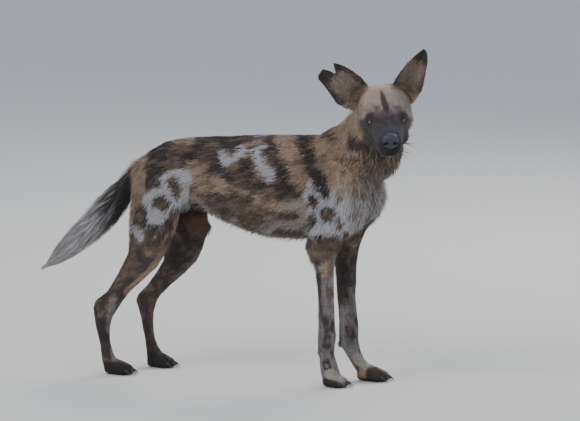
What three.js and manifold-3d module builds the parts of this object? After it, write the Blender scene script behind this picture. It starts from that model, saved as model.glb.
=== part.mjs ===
// An African wild dog standing at rest with its head turned to its right, as a life-size solid model.
// Millimetres. While it is shaped, +X runs to the chest, +Y to the animal's left and +Z up, and the
// soles stand on z = 0. At the end it is shifted so that the origin is under the middle of its box.
import * as THREE from "three";
import { mergeVertices } from "three/addons/utils/BufferGeometryUtils.js";
import Module from "manifold-3d";

const wasm = await Module();
wasm.setup();

// The gap between pieces that meet.
const GAP = 0.3;

// Heights at which the legs are parted: elbow, stifle, hock, and above the fore and hind paws.
const ELBOW_CUT = 380;
const STIFLE_CUT = 412;
const HOCK_CUT = 208;
const FOREPAW_CUT = 62;
const HINDPAW_CUT = 56;

// The neck leaves the trunk at a plane through the withers and above the breast.
const NECK_CUT_WITHERS = [242, 0, 712];
const NECK_CUT_BREAST = [402, 0, 530];

// The tail leaves the rump at this plane and its brush starts at the second one.
const TAIL_CUT = [-296, 0, 570];
const BRUSH_CUT = [-352, 0, 500];
const TAIL_SLOPE = 52;

// The head: middle of the back of the skull, turn to the right, nod and tilt in degrees.
const SKULL = [404, -38, 761];
const HEAD_TURN = 65.5;
const HEAD_NOD = 10;
const HEAD_TILT = 2;

// The eyes, in the head's own frame: middle of the left one, its radius, and the lids over it.
const EYE = [107, 40, -8];
const EYE_RADIUS = 12;
const LID = 2.4;
const EYE_OUTWARD = 27;

// A lock of long hair: its steps along, and the share of its width and thickness left at the tip.
const LOCK_STEPS = 3;
const LOCK_TIP = 0.12;
// The most by which a lock's tip strays round its form, in degrees.
const LOCK_STRAY = 10;

const degrees = THREE.MathUtils.degToRad;
const vec = (x, y, z) => new THREE.Vector3(x, y, z);
const X = vec(1, 0, 0);
const Y = vec(0, 1, 0);
const Z = vec(0, 0, 1);

// Seeded noise from 0 to 1, so that the locks vary alike on every run.
let seed = 20;
function random() {
  seed = (seed * 16807) % 2147483647;
  return seed / 2147483647;
}
const vary = (middle, share) => middle * (1 + share * (2 * random() - 1));

// Solids, joins and cuts

// A closed geometry as a solid that can be joined and cut.
function solid(geometry, matrix) {
  const bare = new THREE.BufferGeometry();
  bare.setAttribute("position", geometry.getAttribute("position").clone());
  bare.setIndex(geometry.index);
  if (matrix) bare.applyMatrix4(matrix);
  const merged = mergeVertices(bare, 1e-4);
  return new wasm.Manifold(
    new wasm.Mesh({
      numProp: 3,
      vertProperties: merged.attributes.position.array,
      triVerts: new Uint32Array(merged.index.array),
    }),
  );
}

const join = (pieces) => pieces.reduce((all, piece) => all.add(piece));
const placed = (piece, matrix) => piece.transform(matrix.elements);

// The largest closed surface of a solid, with loose scraps and sealed hollows dropped.
function largest(piece) {
  const bodies = piece.decompose();
  return bodies.reduce((most, body) => (body.volume() > most.volume() ? body : most));
}

// The part of a solid ahead of a plane, which stands through a point.
function ahead(piece, point, normal) {
  const n = normal.clone().normalize();
  return piece.trimByPlane(n.toArray(), n.dot(vec(...point)) + GAP / 2);
}
const behind = (piece, point, normal) => ahead(piece, point, normal.clone().negate());

// A form through stations of centre x, y, z and half sizes to the side, up and down, as a function that
// gives the point at a share t of its length and a place across and high in its section, 1 being the edge.
// Its sections stand along the given side and up, or square to the path when only up is given.
function form(stations, { side, up = Z, square = 2, grow = 0 } = {}) {
  const smooth = (points) => new THREE.CatmullRomCurve3(points, false, "catmullrom");
  const middle = smooth(stations.map((s) => vec(s[0], s[1], s[2])));
  const size = smooth(stations.map((s) => vec(s[3], s[4], s[5] ?? s[4])));
  return (t, across, high) => {
    const round = Math.hypot(across, high) > 1e-6
      ? Math.hypot(across, high) * (Math.abs(across) ** square + Math.abs(high) ** square) ** (-1 / square)
      : 1;
    const half = size.getPoint(t).addScalar(grow);
    const forward = middle.getTangent(t);
    const aside = side ?? up.clone().cross(forward).normalize();
    const upright = side ? up : forward.clone().cross(aside);
    const end = t === 0 ? -grow : t === 1 ? grow : 0;
    return middle.getPoint(t)
      .addScaledVector(aside, across * round * half.x)
      .addScaledVector(upright, high * round * (high > 0 ? half.y : half.z))
      .addScaledVector(forward, end);
  };
}

// The closed tube of such a form.
function loft(stations, { sides = 12, steps = 1, ...shape } = {}) {
  const at = form(stations, shape);
  const tube = new THREE.CylinderGeometry(1, 1, 1, sides, (stations.length - 1) * steps);
  const place = tube.attributes.position;
  for (let i = 0; i < place.count; i += 1) {
    const t = THREE.MathUtils.clamp(0.5 - place.getY(i), 0, 1);
    const point = at(t, place.getX(i), place.getZ(i));
    place.setXYZ(i, point.x, point.y, point.z);
  }
  return solid(tube);
}

// A rounded lump with its own half sizes along X, Y and Z.
function lump([x, y, z], [rx, ry, rz], { sides = 14, rings = 10, grow = 0 } = {}) {
  const matrix = new THREE.Matrix4()
    .makeTranslation(x, y, z)
    .scale(vec(rx + grow, ry + grow, rz + grow));
  return solid(new THREE.SphereGeometry(1, sides, rings), matrix);
}

function block([x0, y0, z0], [x1, y1, z1]) {
  const box = new THREE.BoxGeometry(x1 - x0, y1 - y0, z1 - z0);
  return solid(box, new THREE.Matrix4().makeTranslation((x0 + x1) / 2, (y0 + y1) / 2, (z0 + z1) / 2));
}

// A tube of round section along a smooth path.
function cordAlong(points, radius, sides, steps) {
  const path = new THREE.CatmullRomCurve3(points.map((p) => vec(...p)));
  const section = new THREE.Shape(new THREE.EllipseCurve(0, 0, radius, radius).getPoints(sides).slice(1));
  return solid(new THREE.ExtrudeGeometry(section, { steps, extrudePath: path, bevelEnabled: false }));
}

// One flat, tapered lock that bends from its root past a middle point to its tip. It lies flat against
// the way out of the form it grows on.
function lock(root, bend, tip, out, width, thick) {
  const path = new THREE.QuadraticBezierCurve3(root, bend, tip);
  const strip = new THREE.BoxGeometry(1, 1, 1, 1, 1, LOCK_STEPS);
  const place = strip.attributes.position;
  for (let i = 0; i < place.count; i += 1) {
    const t = place.getZ(i) + 0.5;
    const forward = path.getTangent(t);
    const aside = out.clone().cross(forward).normalize();
    const upright = forward.clone().cross(aside);
    const taper = LOCK_TIP + (1 - LOCK_TIP) * (1 - t) ** 0.75;
    const point = path.getPoint(t)
      .addScaledVector(aside, place.getX(i) * width * taper)
      .addScaledVector(upright, place.getY(i) * thick * taper);
    place.setXYZ(i, point.x, point.y, point.z);
  }
  return solid(strip);
}

// Rows of locks over a form. Each row starts at a share of the length, and its locks stand at the given
// angles in the section, 90 degrees being up. A lock grows from depth in the form and runs by reach
// along it, out to the edge.
function coat(at, rows, { depth, reach, width, thick }) {
  const point = (t, angle, share) => {
    const [across, high] = [Math.cos(degrees(angle)), Math.sin(degrees(angle))];
    return at(THREE.MathUtils.clamp(t, 0, 1), across * share, high * share);
  };
  return rows.flatMap(([start, angles]) => angles.map((angle) => {
    const length = vary(reach, 0.16);
    const turn = (random() - 0.5) * LOCK_STRAY;
    const root = point(start, angle, depth);
    const bend = point(start + length * 0.35, angle, vary(1, 0.05));
    const tip = point(start + length, angle + turn, vary(0.98, 0.06));
    const out = bend.clone().sub(point(start + length * 0.35, angle, 0));
    return lock(root, bend, tip, out, vary(width, 0.12), thick);
  }));
}

// Trunk

// Stations along the trunk: x, top line, bottom line, half width.
const TRUNK = [
  [-306, 545, 482, 28],
  [-296, 582, 455, 54],
  [-268, 611, 446, 72],
  [-220, 636, 446, 80],
  [-160, 648, 452, 78],
  [-105, 653, 456, 74],
  [-50, 656, 427, 78],
  [10, 662, 405, 86],
  [75, 666, 391, 90],
  [150, 669, 389, 88],
  [215, 673, 396, 82],
  [270, 668, 410, 76],
  [320, 640, 430, 68],
  [352, 604, 448, 58],
  [374, 572, 464, 46],
  [387, 548, 484, 30],
  [392, 530, 504, 12],
];

function trunkShape() {
  const stations = TRUNK.map(([x, top, bottom, half]) => (
    [x, 0, (top + bottom) / 2, half, (top - bottom) / 2]
  ));
  return loft(stations, { side: Y, up: Z, sides: 22, square: 2.15 });
}

// Shoulder blade and upper arm: centre x, z, distance from the middle, then half width and half depth.
const SHOULDER = [
  [232, 650, 40, 14, 30],
  [262, 610, 50, 26, 48],
  [296, 560, 58, 32, 60],
  [312, 505, 62, 36, 64],
  [296, 450, 64, 37, 62],
  [268, 405, 65, 32, 54],
];

function shoulderShape(hand) {
  const stations = SHOULDER.map(([x, z, y, half, depth]) => [x, hand * y, z, half, depth]);
  return loft(stations, { side: Y, up: X, sides: 14 });
}

// Neck and throat ruff

// Stations along the neck: centre x, y, z, then half sizes to the side, to the nape and to the tips of
// the throat hair.
const NECK = [
  [248, 0, 590, 72, 80, 112],
  [285, -2, 628, 70, 78, 126],
  [320, -6, 666, 66, 62, 146],
  [352, -15, 704, 64, 50, 141],
  [382, -26, 740, 60, 42, 112],
  [404, -36, 768, 48, 32, 56],
];
// The flesh and dense hair under the locks, as a share of the throat's depth.
const THROAT_CORE = 0.8;
// Rows of ruff locks: where they root along the neck, counted from the head, and their angles.
const RUFF = [
  [0.2, [-148, -118, -90, -62, -32]],
  [0.34, [-133, -104, -76, -47]],
  [0.48, [-148, -118, -90, -62, -32]],
  [0.6, [-128, -104, -76, -52]],
];
const RUFF_LOCK = { depth: 0.66, reach: 0.34, width: 46, thick: 7 };

function neckShape() {
  const stations = NECK.map(([x, y, z, half, nape, throat]) => [x, y, z, half, nape, throat * THROAT_CORE]);
  return loft(stations, { sides: 20, steps: 2 });
}

function ruffLocks() {
  return join(coat(form([...NECK].reverse()), RUFF, RUFF_LOCK));
}

// Head, in its own frame: +x to the nose, +y to the animal's left, +z to the crown

const headPlace = new THREE.Matrix4()
  .makeTranslation(...SKULL)
  .multiply(new THREE.Matrix4().makeRotationZ(-degrees(HEAD_TURN)))
  .multiply(new THREE.Matrix4().makeRotationY(degrees(HEAD_NOD)))
  .multiply(new THREE.Matrix4().makeRotationX(degrees(HEAD_TILT)));

// Stations along the head: x, top, bottom, half width.
const FACE = [
  [-22, 34, -38, 34],
  [-4, 55, -58, 56],
  [26, 69, -70, 70],
  [58, 68, -76, 73],
  [84, 55, -79, 66],
  [102, 39, -79, 55],
  [118, 23, -79, 46],
  [138, 9, -80, 41],
  [164, -1, -84, 38],
  [188, -7, -86, 35],
  [204, -13, -82, 29],
  [211, -20, -74, 18],
];

function headShape(grow = 0) {
  const stations = FACE.map(([x, top, bottom, half]) => [x, 0, (top + bottom) / 2, half, (top - bottom) / 2]);
  const skull = loft(stations, { side: Y, up: Z, sides: 24, square: 2.3, grow });
  const brows = [-1, 1].map((hand) => lump([88, hand * 33, 22], [30, 24, 17], { grow, sides: 12, rings: 8 }));
  const cheeks = [-1, 1].map((hand) => lump([52, hand * 42, -22], [46, 34, 36], { grow, sides: 12, rings: 8 }));
  const jaws = [-1, 1].map((hand) => lump([88, hand * 37, -60], [40, 28, 27], { grow, sides: 12, rings: 8 }));
  return join([skull, ...brows, ...cheeks, ...jaws]);
}

// The mouth runs from under the nose back along both sides of the muzzle.
const MOUTH = [
  [104, 50, -54],
  [124, 43, -62],
  [150, 37, -67],
  [178, 31, -69],
  [198, 20, -69],
  [207, 7, -70],
];

function mouthPath(drop) {
  const left = MOUTH.map(([x, y, z]) => [x, y, z + drop]);
  const right = left.map(([x, y, z]) => [x, -y, z]).reverse();
  return [...left, ...right];
}

const eyeMiddle = (hand) => [EYE[0], hand * EYE[1], EYE[2]];

// The almond opening between the lids, cut along the way the eye looks.
const OPENING_HALF_LENGTH = 12.5;
const OPENING_RISE = 6.5;
const OPENING_DROP = 5.5;

function lidOpening(hand) {
  const almond = new THREE.Shape();
  almond.moveTo(-OPENING_HALF_LENGTH, 0);
  almond.quadraticCurveTo(0, -2 * OPENING_DROP, OPENING_HALF_LENGTH, 0);
  almond.quadraticCurveTo(0, 2 * OPENING_RISE, -OPENING_HALF_LENGTH, 0);
  const cutter = new THREE.ExtrudeGeometry(almond, { depth: 50, curveSegments: 6, bevelEnabled: false });
  const aim = new THREE.Matrix4()
    .makeTranslation(...eyeMiddle(hand))
    .multiply(new THREE.Matrix4().makeRotationZ(hand * degrees(EYE_OUTWARD)))
    .multiply(new THREE.Matrix4().makeBasis(Y, Z, X))
    .multiply(new THREE.Matrix4().makeRotationZ(hand * degrees(8)));
  return solid(cutter, aim);
}

function eyeball(hand, radius) {
  return lump(eyeMiddle(hand), [radius, radius, radius], { sides: 14, rings: 10 });
}

function makeHead() {
  const lids = [-1, 1].map((hand) => eyeball(hand, EYE_RADIUS + LID));
  const lips = cordAlong(mouthPath(4), 5, 6, 20);
  let head = join([headShape(), ...lids, lips]);
  head = head.subtract(cordAlong(mouthPath(-1), 1.8, 4, 20));
  for (const hand of [-1, 1]) {
    head = head.subtract(eyeball(hand, EYE_RADIUS + GAP)).subtract(lidOpening(hand));
  }
  return largest(head);
}

// The bare nose pad with its two nostrils.
const NOSE = [
  [196, 0, -30, 15, 14],
  [204, 0, -31, 21, 18],
  [213, 0, -33, 22, 20],
  [219, 0, -34, 19, 18],
  [223, 0, -35, 11, 11],
];

function makeNose() {
  const pad = loft(NOSE, { side: Y, up: Z, sides: 14, square: 2.3 });
  const nostrils = [-1, 1].map((hand) => lump([221, hand * 10.5, -37], [8, 5, 4.5], { sides: 8, rings: 5 }));
  const slits = [-1, 1].map((hand) => lump([217, hand * 18, -40], [8, 7, 2.4], { sides: 8, rings: 6 }));
  return largest(join([pad]).subtract(join([...nostrils, ...slits])).subtract(headShape(GAP)));
}

// Ears: middle of the base, tip, thickness, depth of the cup at base and tip,
// and rows of distance from the base with reach to the animal's left and right.
const EARS = {
  right: {
    base: [22, -64, 30],
    tip: [24, -149, 111],
    rows: [
      [-34, 34, 30], [0, 42, 40], [37, 47, 49], [79, 43, 38], [104, 35, 34], [120, 25, 31], [125, 12, 20],
    ],
  },
  left: {
    base: [22, 50, 37],
    tip: [24, 107, 150],
    rows: [[-34, 30, 30], [0, 38, 38], [30, 43, 35], [69, 34, 29], [108, 23, 16], [126, 13, 7], [133, 6, 2]],
  },
};
const EAR_THICK = 4.5;
const EAR_CUP = [40, 34, 27, 20, 12, 8, 6];
// The old tear in the right ear: distance from the base and place across, for its depth and its two sides.
const TEAR = [[86, 6], [132, 36], [128, -5], [104, 4]];

function earFrame({ base, tip }) {
  const along = vec(...tip).sub(vec(...base));
  const length = along.length();
  along.normalize();
  const across = X.clone().cross(along).normalize();
  const front = across.clone().cross(along).negate();
  return { origin: vec(...base), along, across, front, length };
}

function earSheet(ear, grow = 0) {
  const { origin, along, across, front } = earFrame(ear);
  const curve = (values) => new THREE.CatmullRomCurve3(values, false, "catmullrom");
  const rows = curve(ear.rows.map(([far, left, right]) => vec(far, left, right)));
  const cups = curve(EAR_CUP.map((depth, i) => vec(i, depth, 0)));
  const sheet = new THREE.BoxGeometry(1, 1, 1, 10, 1, 9);
  const place = sheet.attributes.position;
  for (let i = 0; i < place.count; i += 1) {
    const t = place.getZ(i) + 0.5;
    const a = 2 * place.getX(i);
    const row = rows.getPoint(t);
    const cup = cups.getPoint(t).y;
    const reach = a * ((a < 0 ? row.y : row.z) + grow);
    const point = origin.clone()
      .addScaledVector(along, row.x)
      .addScaledVector(across, reach)
      .addScaledVector(front, -cup * (1 - a * a) + cup / 3 + place.getY(i) * (EAR_THICK + 6 * grow));
    place.setXYZ(i, point.x, point.y, point.z);
  }
  return solid(sheet);
}

function tearCutter(ear) {
  const { origin, along, across, front } = earFrame(ear);
  const shape = new THREE.Shape(TEAR.map(([far, aside]) => new THREE.Vector2(-aside, far)));
  const cutter = new THREE.ExtrudeGeometry(shape, { depth: 90, bevelEnabled: false });
  const matrix = new THREE.Matrix4().makeBasis(across, along, across.clone().cross(along))
    .setPosition(origin.clone().addScaledVector(front, 45));
  return solid(cutter, matrix);
}

function makeEar(hand) {
  const ear = hand < 0 ? EARS.right : EARS.left;
  let sheet = earSheet(ear);
  if (hand < 0) sheet = sheet.subtract(tearCutter(ear));
  return largest(sheet.subtract(headShape(GAP)));
}

// Tail: centre x, y, z, then half sizes to the side, above and below.
const TAIL = [
  [-240, 0, 590, 26, 24, 26],
  [-276, 0, 580, 27, 26, 28],
  [-306, 0, 553, 27, 27, 28],
  [-334, 0, 522, 26, 27, 28],
  [-356, 0, 490, 27, 31, 32],
  [-390, 1, 447, 31, 38, 37],
  [-430, 2, 402, 33, 39, 36],
  [-477, 4, 358, 31, 36, 31],
  [-521, 5, 320, 24, 28, 23],
  [-556, 6, 291, 14, 16, 13],
  [-580, 6, 275, 4, 4, 4],
];

// Legs: height, front and back edge, distance from the middle and half width.
const LEGS = {
  foreleg_right: [
    [452, 340, 236, 66, 34],
    [415, 318, 208, 67, 34],
    [380, 298, 195, 67, 31],
    [350, 285, 206, 67, 26],
    [320, 279, 224, 67, 23],
    [232, 278, 232, 65, 18.5],
    [165, 281, 231, 64, 18.5],
    [140, 284, 229, 63, 20],
    [108, 280, 229, 62, 18.5],
    [92, 278, 231, 62, 18],
    [60, 286, 236, 62, 21],
    [34, 294, 240, 62, 25],
    [18, 296, 246, 62, 25],
  ],
  foreleg_left: [
    [452, 345, 244, 66, 34],
    [415, 326, 210, 67, 34],
    [380, 311, 200, 67, 31],
    [350, 301, 216, 67, 26],
    [310, 296, 233, 67, 23],
    [228, 294, 239, 66, 18.5],
    [175, 298, 244, 65, 18.5],
    [150, 302, 245, 65, 20],
    [112, 303, 244, 64, 18.5],
    [84, 307, 255, 64, 18.5],
    [60, 315, 273, 64, 21],
    [34, 338, 290, 64, 25],
    [18, 350, 304, 64, 25],
  ],
  hind_right: [
    [600, -196, -270, 44, 26],
    [555, -168, -292, 50, 36],
    [510, -158, -304, 54, 42],
    [466, -158, -308, 58, 43],
    [425, -168, -308, 62, 39],
    [380, -184, -306, 66, 34],
    [335, -203, -312, 68, 29],
    [298, -226, -331, 69, 25],
    [262, -266, -352, 69, 21],
    [228, -303, -372, 69, 18],
    [200, -326, -408, 69, 18],
    [182, -338, -415, 69, 19],
    [155, -356, -411, 69, 18],
    [128, -363, -407, 69, 16.5],
    [92, -364, -397, 69, 16.5],
    [60, -358, -390, 69, 19],
    [36, -346, -386, 69, 24],
    [18, -334, -382, 69, 24],
  ],
  hind_left: [
    [600, -190, -268, 44, 26],
    [555, -156, -290, 50, 36],
    [510, -136, -300, 56, 42],
    [466, -126, -296, 62, 43],
    [425, -129, -284, 67, 39],
    [380, -135, -270, 72, 34],
    [335, -148, -262, 75, 29],
    [298, -166, -266, 77, 25],
    [262, -203, -288, 78, 21],
    [228, -244, -314, 78, 18],
    [200, -271, -342, 78, 18],
    [182, -283, -349, 78, 19],
    [155, -293, -338, 78, 18],
    [128, -296, -331, 78, 16.5],
    [92, -294, -324, 78, 16.5],
    [60, -285, -318, 78, 19],
    [36, -270, -315, 78, 24],
    [18, -262, -312, 78, 24],
  ],
};

// Carpal pads behind the forelegs: centre x and z.
const CARPAL_PADS = { foreleg_right: [236, 92], foreleg_left: [249, 96] };
const CARPAL_PAD_HALF = [9, 8, 11];

// Paws: back of the pad, front of the toes, distance from the middle, half width.
const PAWS = {
  foreleg_right: [246, 313, 62, 28],
  foreleg_left: [300, 386, 64, 28],
  hind_right: [-380, -300, 69, 26],
  hind_left: [-312, -236, 78, 26],
};
// Toes: place across the paw as a share of its half width, and how far each falls behind the longest.
const TOES = [[-0.74, 15], [-0.26, 1], [0.26, 0], [0.74, 14]];
const TOE_HALF = 10.5;

const handOf = (limb) => (limb.endsWith("left") ? 1 : -1);

function carpalPad([limb, [x, z]]) {
  return lump([x, handOf(limb) * 64, z], CARPAL_PAD_HALF, { sides: 8, rings: 6 });
}

function legShape(limb) {
  const stations = LEGS[limb].map(([z, front, back, y, half]) => [
    (front + back) / 2, handOf(limb) * y, z, half, (front - back) / 2,
  ]);
  return loft(stations, { side: Y, up: X, sides: 12, square: 2.1 });
}

function toePlace(limb, toe) {
  const [, front, y, half] = PAWS[limb];
  const [share, back] = TOES[toe];
  return vec(front - back, handOf(limb) * y + share * half, 0);
}

function pawShape(limb, grow = 0) {
  const [back, front, y, half] = PAWS[limb];
  const length = front - back;
  const middle = handOf(limb) * y;
  const pad = loft([
    [back, middle, 16, half * 0.5, 13],
    [back + length * 0.12, middle, 20, half * 0.82, 20],
    [back + length * 0.36, middle, 22, half * 0.95, 24],
    [front - length * 0.34, middle, 18, half * 0.9, 19],
    [front - length * 0.26, middle, 16, half * 0.6, 12],
  ], { side: Y, up: Z, sides: 12, grow });
  const toes = TOES.map((_, i) => {
    const tip = toePlace(limb, i);
    return loft([
      [tip.x - 42, middle + (tip.y - middle) * 0.7, 24, TOE_HALF * 0.9, 13],
      [tip.x - 26, tip.y, 21, TOE_HALF, 15],
      [tip.x - 10, tip.y, 14, TOE_HALF, 15],
      [tip.x - 2, tip.y, 12, TOE_HALF * 0.8, 12],
      [tip.x, tip.y, 11, TOE_HALF * 0.4, 6],
    ], { side: Y, up: Z, sides: 8, grow });
  });
  return join([pad, ...toes]);
}

// Claws grow from the toe tips and bend down to just above the ground.
const CLAW_LENGTH = 15;

function makeClaw(limb, toe) {
  const root = toePlace(limb, toe);
  const claw = loft([
    [root.x - 8, root.y, 15, 3.4, 4.2],
    [root.x, root.y, 14.5, 3.2, 4],
    [root.x + CLAW_LENGTH * 0.55, root.y, 11, 2.3, 2.9],
    [root.x + CLAW_LENGTH * 0.95, root.y, 4.5, 0.8, 1],
  ], { side: Y, up: Z, sides: 6 });
  return largest(claw.subtract(pawShape(limb, GAP)));
}

// The sheath under the belly, with its short tuft.
const SHEATH = [
  [-176, 0, 446, 14, 14],
  [-160, 0, 432, 21, 24],
  [-138, 0, 418, 22, 27],
  [-116, 0, 408, 18, 22],
  [-100, 0, 400, 9, 11],
];

// The whole body, which thin cuts part into its nodes

const limbs = Object.keys(LEGS);
const whole = join([
  trunkShape(),
  neckShape(),
  shoulderShape(-1),
  shoulderShape(1),
  ...limbs.map(legShape),
  ...limbs.map((limb) => pawShape(limb)),
  ...Object.entries(CARPAL_PADS).map(carpalPad),
]).trimByPlane([0, 0, 1], 0);

const REACH = 900;
const under = (x0, x1, height) => block([x0, -REACH, -REACH], [x1, REACH, height]);
const neckNormal = vec(NECK_CUT_WITHERS[2] - NECK_CUT_BREAST[2], 0, NECK_CUT_BREAST[0] - NECK_CUT_WITHERS[0]);
const tailNormal = vec(-Math.cos(degrees(TAIL_SLOPE)), 0, -Math.sin(degrees(TAIL_SLOPE)));

function makeTorso() {
  const body = behind(whole, NECK_CUT_WITHERS, neckNormal);
  const forelegs = under(0, REACH, ELBOW_CUT + GAP / 2);
  const hindlegs = under(-REACH, -60, STIFLE_CUT + GAP / 2);
  return largest(body.subtract(forelegs).subtract(hindlegs));
}

function makeNeck() {
  const earSeats = Object.values(EARS).map((ear) => earSheet(ear, GAP));
  const seat = placed(join([headShape(GAP), ...earSeats]), headPlace);
  const neck = whole.add(ruffLocks());
  return largest(ahead(neck, NECK_CUT_WITHERS, neckNormal).subtract(seat));
}

// One length of a leg between two heights, on its own side of the body.
function legLength(limb, top, bottom) {
  const front = limb.startsWith("fore");
  const hand = handOf(limb);
  const near = front ? [0, 0] : [-REACH, 0];
  const far = front ? [REACH, REACH] : [-60, REACH];
  const [y0, y1] = hand > 0 ? [near[1], far[1]] : [-far[1], -near[1]];
  const zone = block([near[0], y0, bottom + GAP / 2], [far[0], y1, top - GAP / 2]);
  return largest(whole.intersect(zone));
}

// The brush: the last tail station of full depth, the share of the depth that its core keeps past it,
// and rows of locks, each with its start along the tail and its angles.
const BRUSH_START = 4;
const BRUSH_CORE = 0.48;
const BRUSH = [
  [0.39, [0, 72, 144, 216, 288]],
  [0.5, [36, 108, 180, 252, 324]],
  [0.61, [0, 72, 144, 216, 288]],
  [0.72, [30, 120, 210, 300]],
];
const BRUSH_LOCK = { depth: 0.36, reach: 0.27, width: 40, thick: 5.5 };

function tailShape() {
  const core = TAIL.map(([x, y, z, ...half], i) => {
    const share = i > BRUSH_START ? BRUSH_CORE : 1;
    return [x, y, z, ...half.map((h) => h * share)];
  });
  return loft(core, { sides: 10 });
}

const brushLocks = () => join(coat(form(TAIL), BRUSH, BRUSH_LOCK));

const skin = {
  coat: { color: 0x6f5638, roughness: 0.9 },
  pale: { color: 0xa9a196, roughness: 0.9 },
  dark: { color: 0x2c2522, roughness: 0.85 },
  nose: { color: 0x16151a, roughness: 0.4 },
  eye: { color: 0xa06a1e, roughness: 0.1 },
  claw: { color: 0x2a231e, roughness: 0.5 },
  sheath: { color: 0x8a4f2c, roughness: 0.9 },
};

const dog = new THREE.Group();

function addNode(name, piece, look) {
  const { vertProperties, triVerts } = piece.getMesh();
  const geometry = new THREE.BufferGeometry();
  geometry.setAttribute("position", new THREE.BufferAttribute(new Float32Array(vertProperties), 3));
  geometry.setIndex(new THREE.BufferAttribute(new Uint32Array(triVerts), 1));
  geometry.computeVertexNormals();
  const mesh = new THREE.Mesh(geometry, new THREE.MeshStandardMaterial({ ...look, metalness: 0 }));
  mesh.name = name;
  dog.add(mesh);
}

addNode("torso", makeTorso(), skin.coat);
addNode("neck", makeNeck(), skin.coat);
addNode("head", placed(makeHead(), headPlace), skin.dark);
addNode("nose", placed(makeNose(), headPlace), skin.nose);

const sides = { left: 1, right: -1 };
for (const [side, hand] of Object.entries(sides)) {
  addNode(`ear_${side}`, placed(makeEar(hand), headPlace), skin.dark);
  addNode(`eye_${side}`, placed(eyeball(hand, EYE_RADIUS), headPlace), skin.eye);
}

const tail = tailShape().subtract(whole);
const brush = tail.add(brushLocks());
addNode("tail_root", largest(behind(ahead(tail, TAIL_CUT, tailNormal), BRUSH_CUT, tailNormal)), skin.coat);
addNode("tail_brush", largest(ahead(brush, BRUSH_CUT, tailNormal)), skin.pale);
addNode("sheath", largest(loft(SHEATH, { up: Z, sides: 10 }).subtract(whole)), skin.sheath);

for (const limb of limbs) {
  const side = limb.endsWith("left") ? "left" : "right";
  const front = limb.startsWith("fore");
  if (front) {
    addNode(`foreleg_${side}`, legLength(limb, ELBOW_CUT, FOREPAW_CUT), skin.pale);
    addNode(`forepaw_${side}`, legLength(limb, FOREPAW_CUT, -REACH), skin.dark);
  } else {
    addNode(`hind_shank_${side}`, legLength(limb, STIFLE_CUT, HOCK_CUT), skin.coat);
    addNode(`hind_cannon_${side}`, legLength(limb, HOCK_CUT, HINDPAW_CUT), skin.dark);
    addNode(`hind_paw_${side}`, legLength(limb, HINDPAW_CUT, -REACH), skin.dark);
  }
  TOES.forEach((_, toe) => {
    addNode(`claw_${front ? "fore" : "hind"}_${side}_${toe + 1}`, makeClaw(limb, toe), skin.claw);
  });
}

const size = new THREE.Box3().setFromObject(dog, true);
const middle = size.getCenter(vec(0, 0, 0));
for (const mesh of dog.children) {
  mesh.position.set(-middle.x, -middle.y, -size.min.z);
}

export default dog;
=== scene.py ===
# %% [markdown]
# # A life-size african wild dog
# A museum shows an animal like this as one skin over a carved body. Here the body is the packed
# model of the frame. Over it we make one seamless skin, a coat of hair tufts that are real mesh,
# eyes, nose, claws and whiskers. Everything is in metres, with +X to the chest, +Y to the animal's
# left and +Z up.

# %% Load the frame
import math

import bpy
import numpy as np
from mathutils import Matrix, Vector

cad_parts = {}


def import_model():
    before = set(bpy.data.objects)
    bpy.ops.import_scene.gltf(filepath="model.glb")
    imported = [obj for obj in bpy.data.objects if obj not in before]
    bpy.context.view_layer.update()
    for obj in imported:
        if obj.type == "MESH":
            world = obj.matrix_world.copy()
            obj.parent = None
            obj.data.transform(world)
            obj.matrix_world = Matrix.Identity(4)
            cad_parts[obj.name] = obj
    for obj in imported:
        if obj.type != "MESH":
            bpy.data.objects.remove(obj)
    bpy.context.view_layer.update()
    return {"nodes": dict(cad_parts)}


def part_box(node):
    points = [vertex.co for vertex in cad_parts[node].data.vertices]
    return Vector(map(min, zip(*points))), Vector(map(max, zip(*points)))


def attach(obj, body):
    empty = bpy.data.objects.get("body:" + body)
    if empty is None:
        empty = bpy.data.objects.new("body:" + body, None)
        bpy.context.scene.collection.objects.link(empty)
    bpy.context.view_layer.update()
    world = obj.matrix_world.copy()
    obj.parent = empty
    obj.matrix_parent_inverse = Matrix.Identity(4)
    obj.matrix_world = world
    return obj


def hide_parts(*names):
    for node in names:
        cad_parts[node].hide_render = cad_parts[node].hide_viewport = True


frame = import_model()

MM = 0.001
print("nodes", len(frame["nodes"]))

# %% [markdown]
# The body was shaped round a point on the floor under the trunk's middle line. All places below are
# given in millimetres from it, so we find it again from the heel of the right hind paw.

# %% Find the trunk's own origin
HEEL_BACK = 389.6
paw_low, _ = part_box("hind_paw_right")
fore_low, fore_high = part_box("foreleg_right")
other_low, other_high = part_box("foreleg_left")
ORIGIN = np.array([
    paw_low.x + HEEL_BACK * MM,
    (fore_low.y + fore_high.y + other_low.y + other_high.y) / 4,
    0.0,
])


def body(points):
    """Places of the frame, in metres, as millimetres from the trunk's origin."""
    return (np.asarray(points, float) - ORIGIN) / MM


def world(points):
    """Millimetres from the trunk's origin as places of the frame, in metres."""
    return np.asarray(points, float) * MM + ORIGIN


print("origin", ORIGIN.round(4))

# %% [markdown]
# ## Camera
# The animal was taken from its front right with a long lens, a little above its back. A long lens
# from far off keeps the far legs nearly as large as the near ones, as in the picture.

# %% Camera
PICTURE = (580, 421)
PIXEL = 2.7
ORIGIN_PIXEL = (245.3, 377.3)
AZIMUTH = math.radians(20)
ELEVATION = math.radians(8)
DISTANCE = 16.0
SENSOR = 36.0

RIGHT = np.array([math.cos(AZIMUTH), math.sin(AZIMUTH), 0.0])
BACK = np.array([
    math.sin(AZIMUTH) * math.cos(ELEVATION),
    -math.cos(AZIMUTH) * math.cos(ELEVATION),
    math.sin(ELEVATION),
])
UP = np.cross(BACK, RIGHT)


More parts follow.
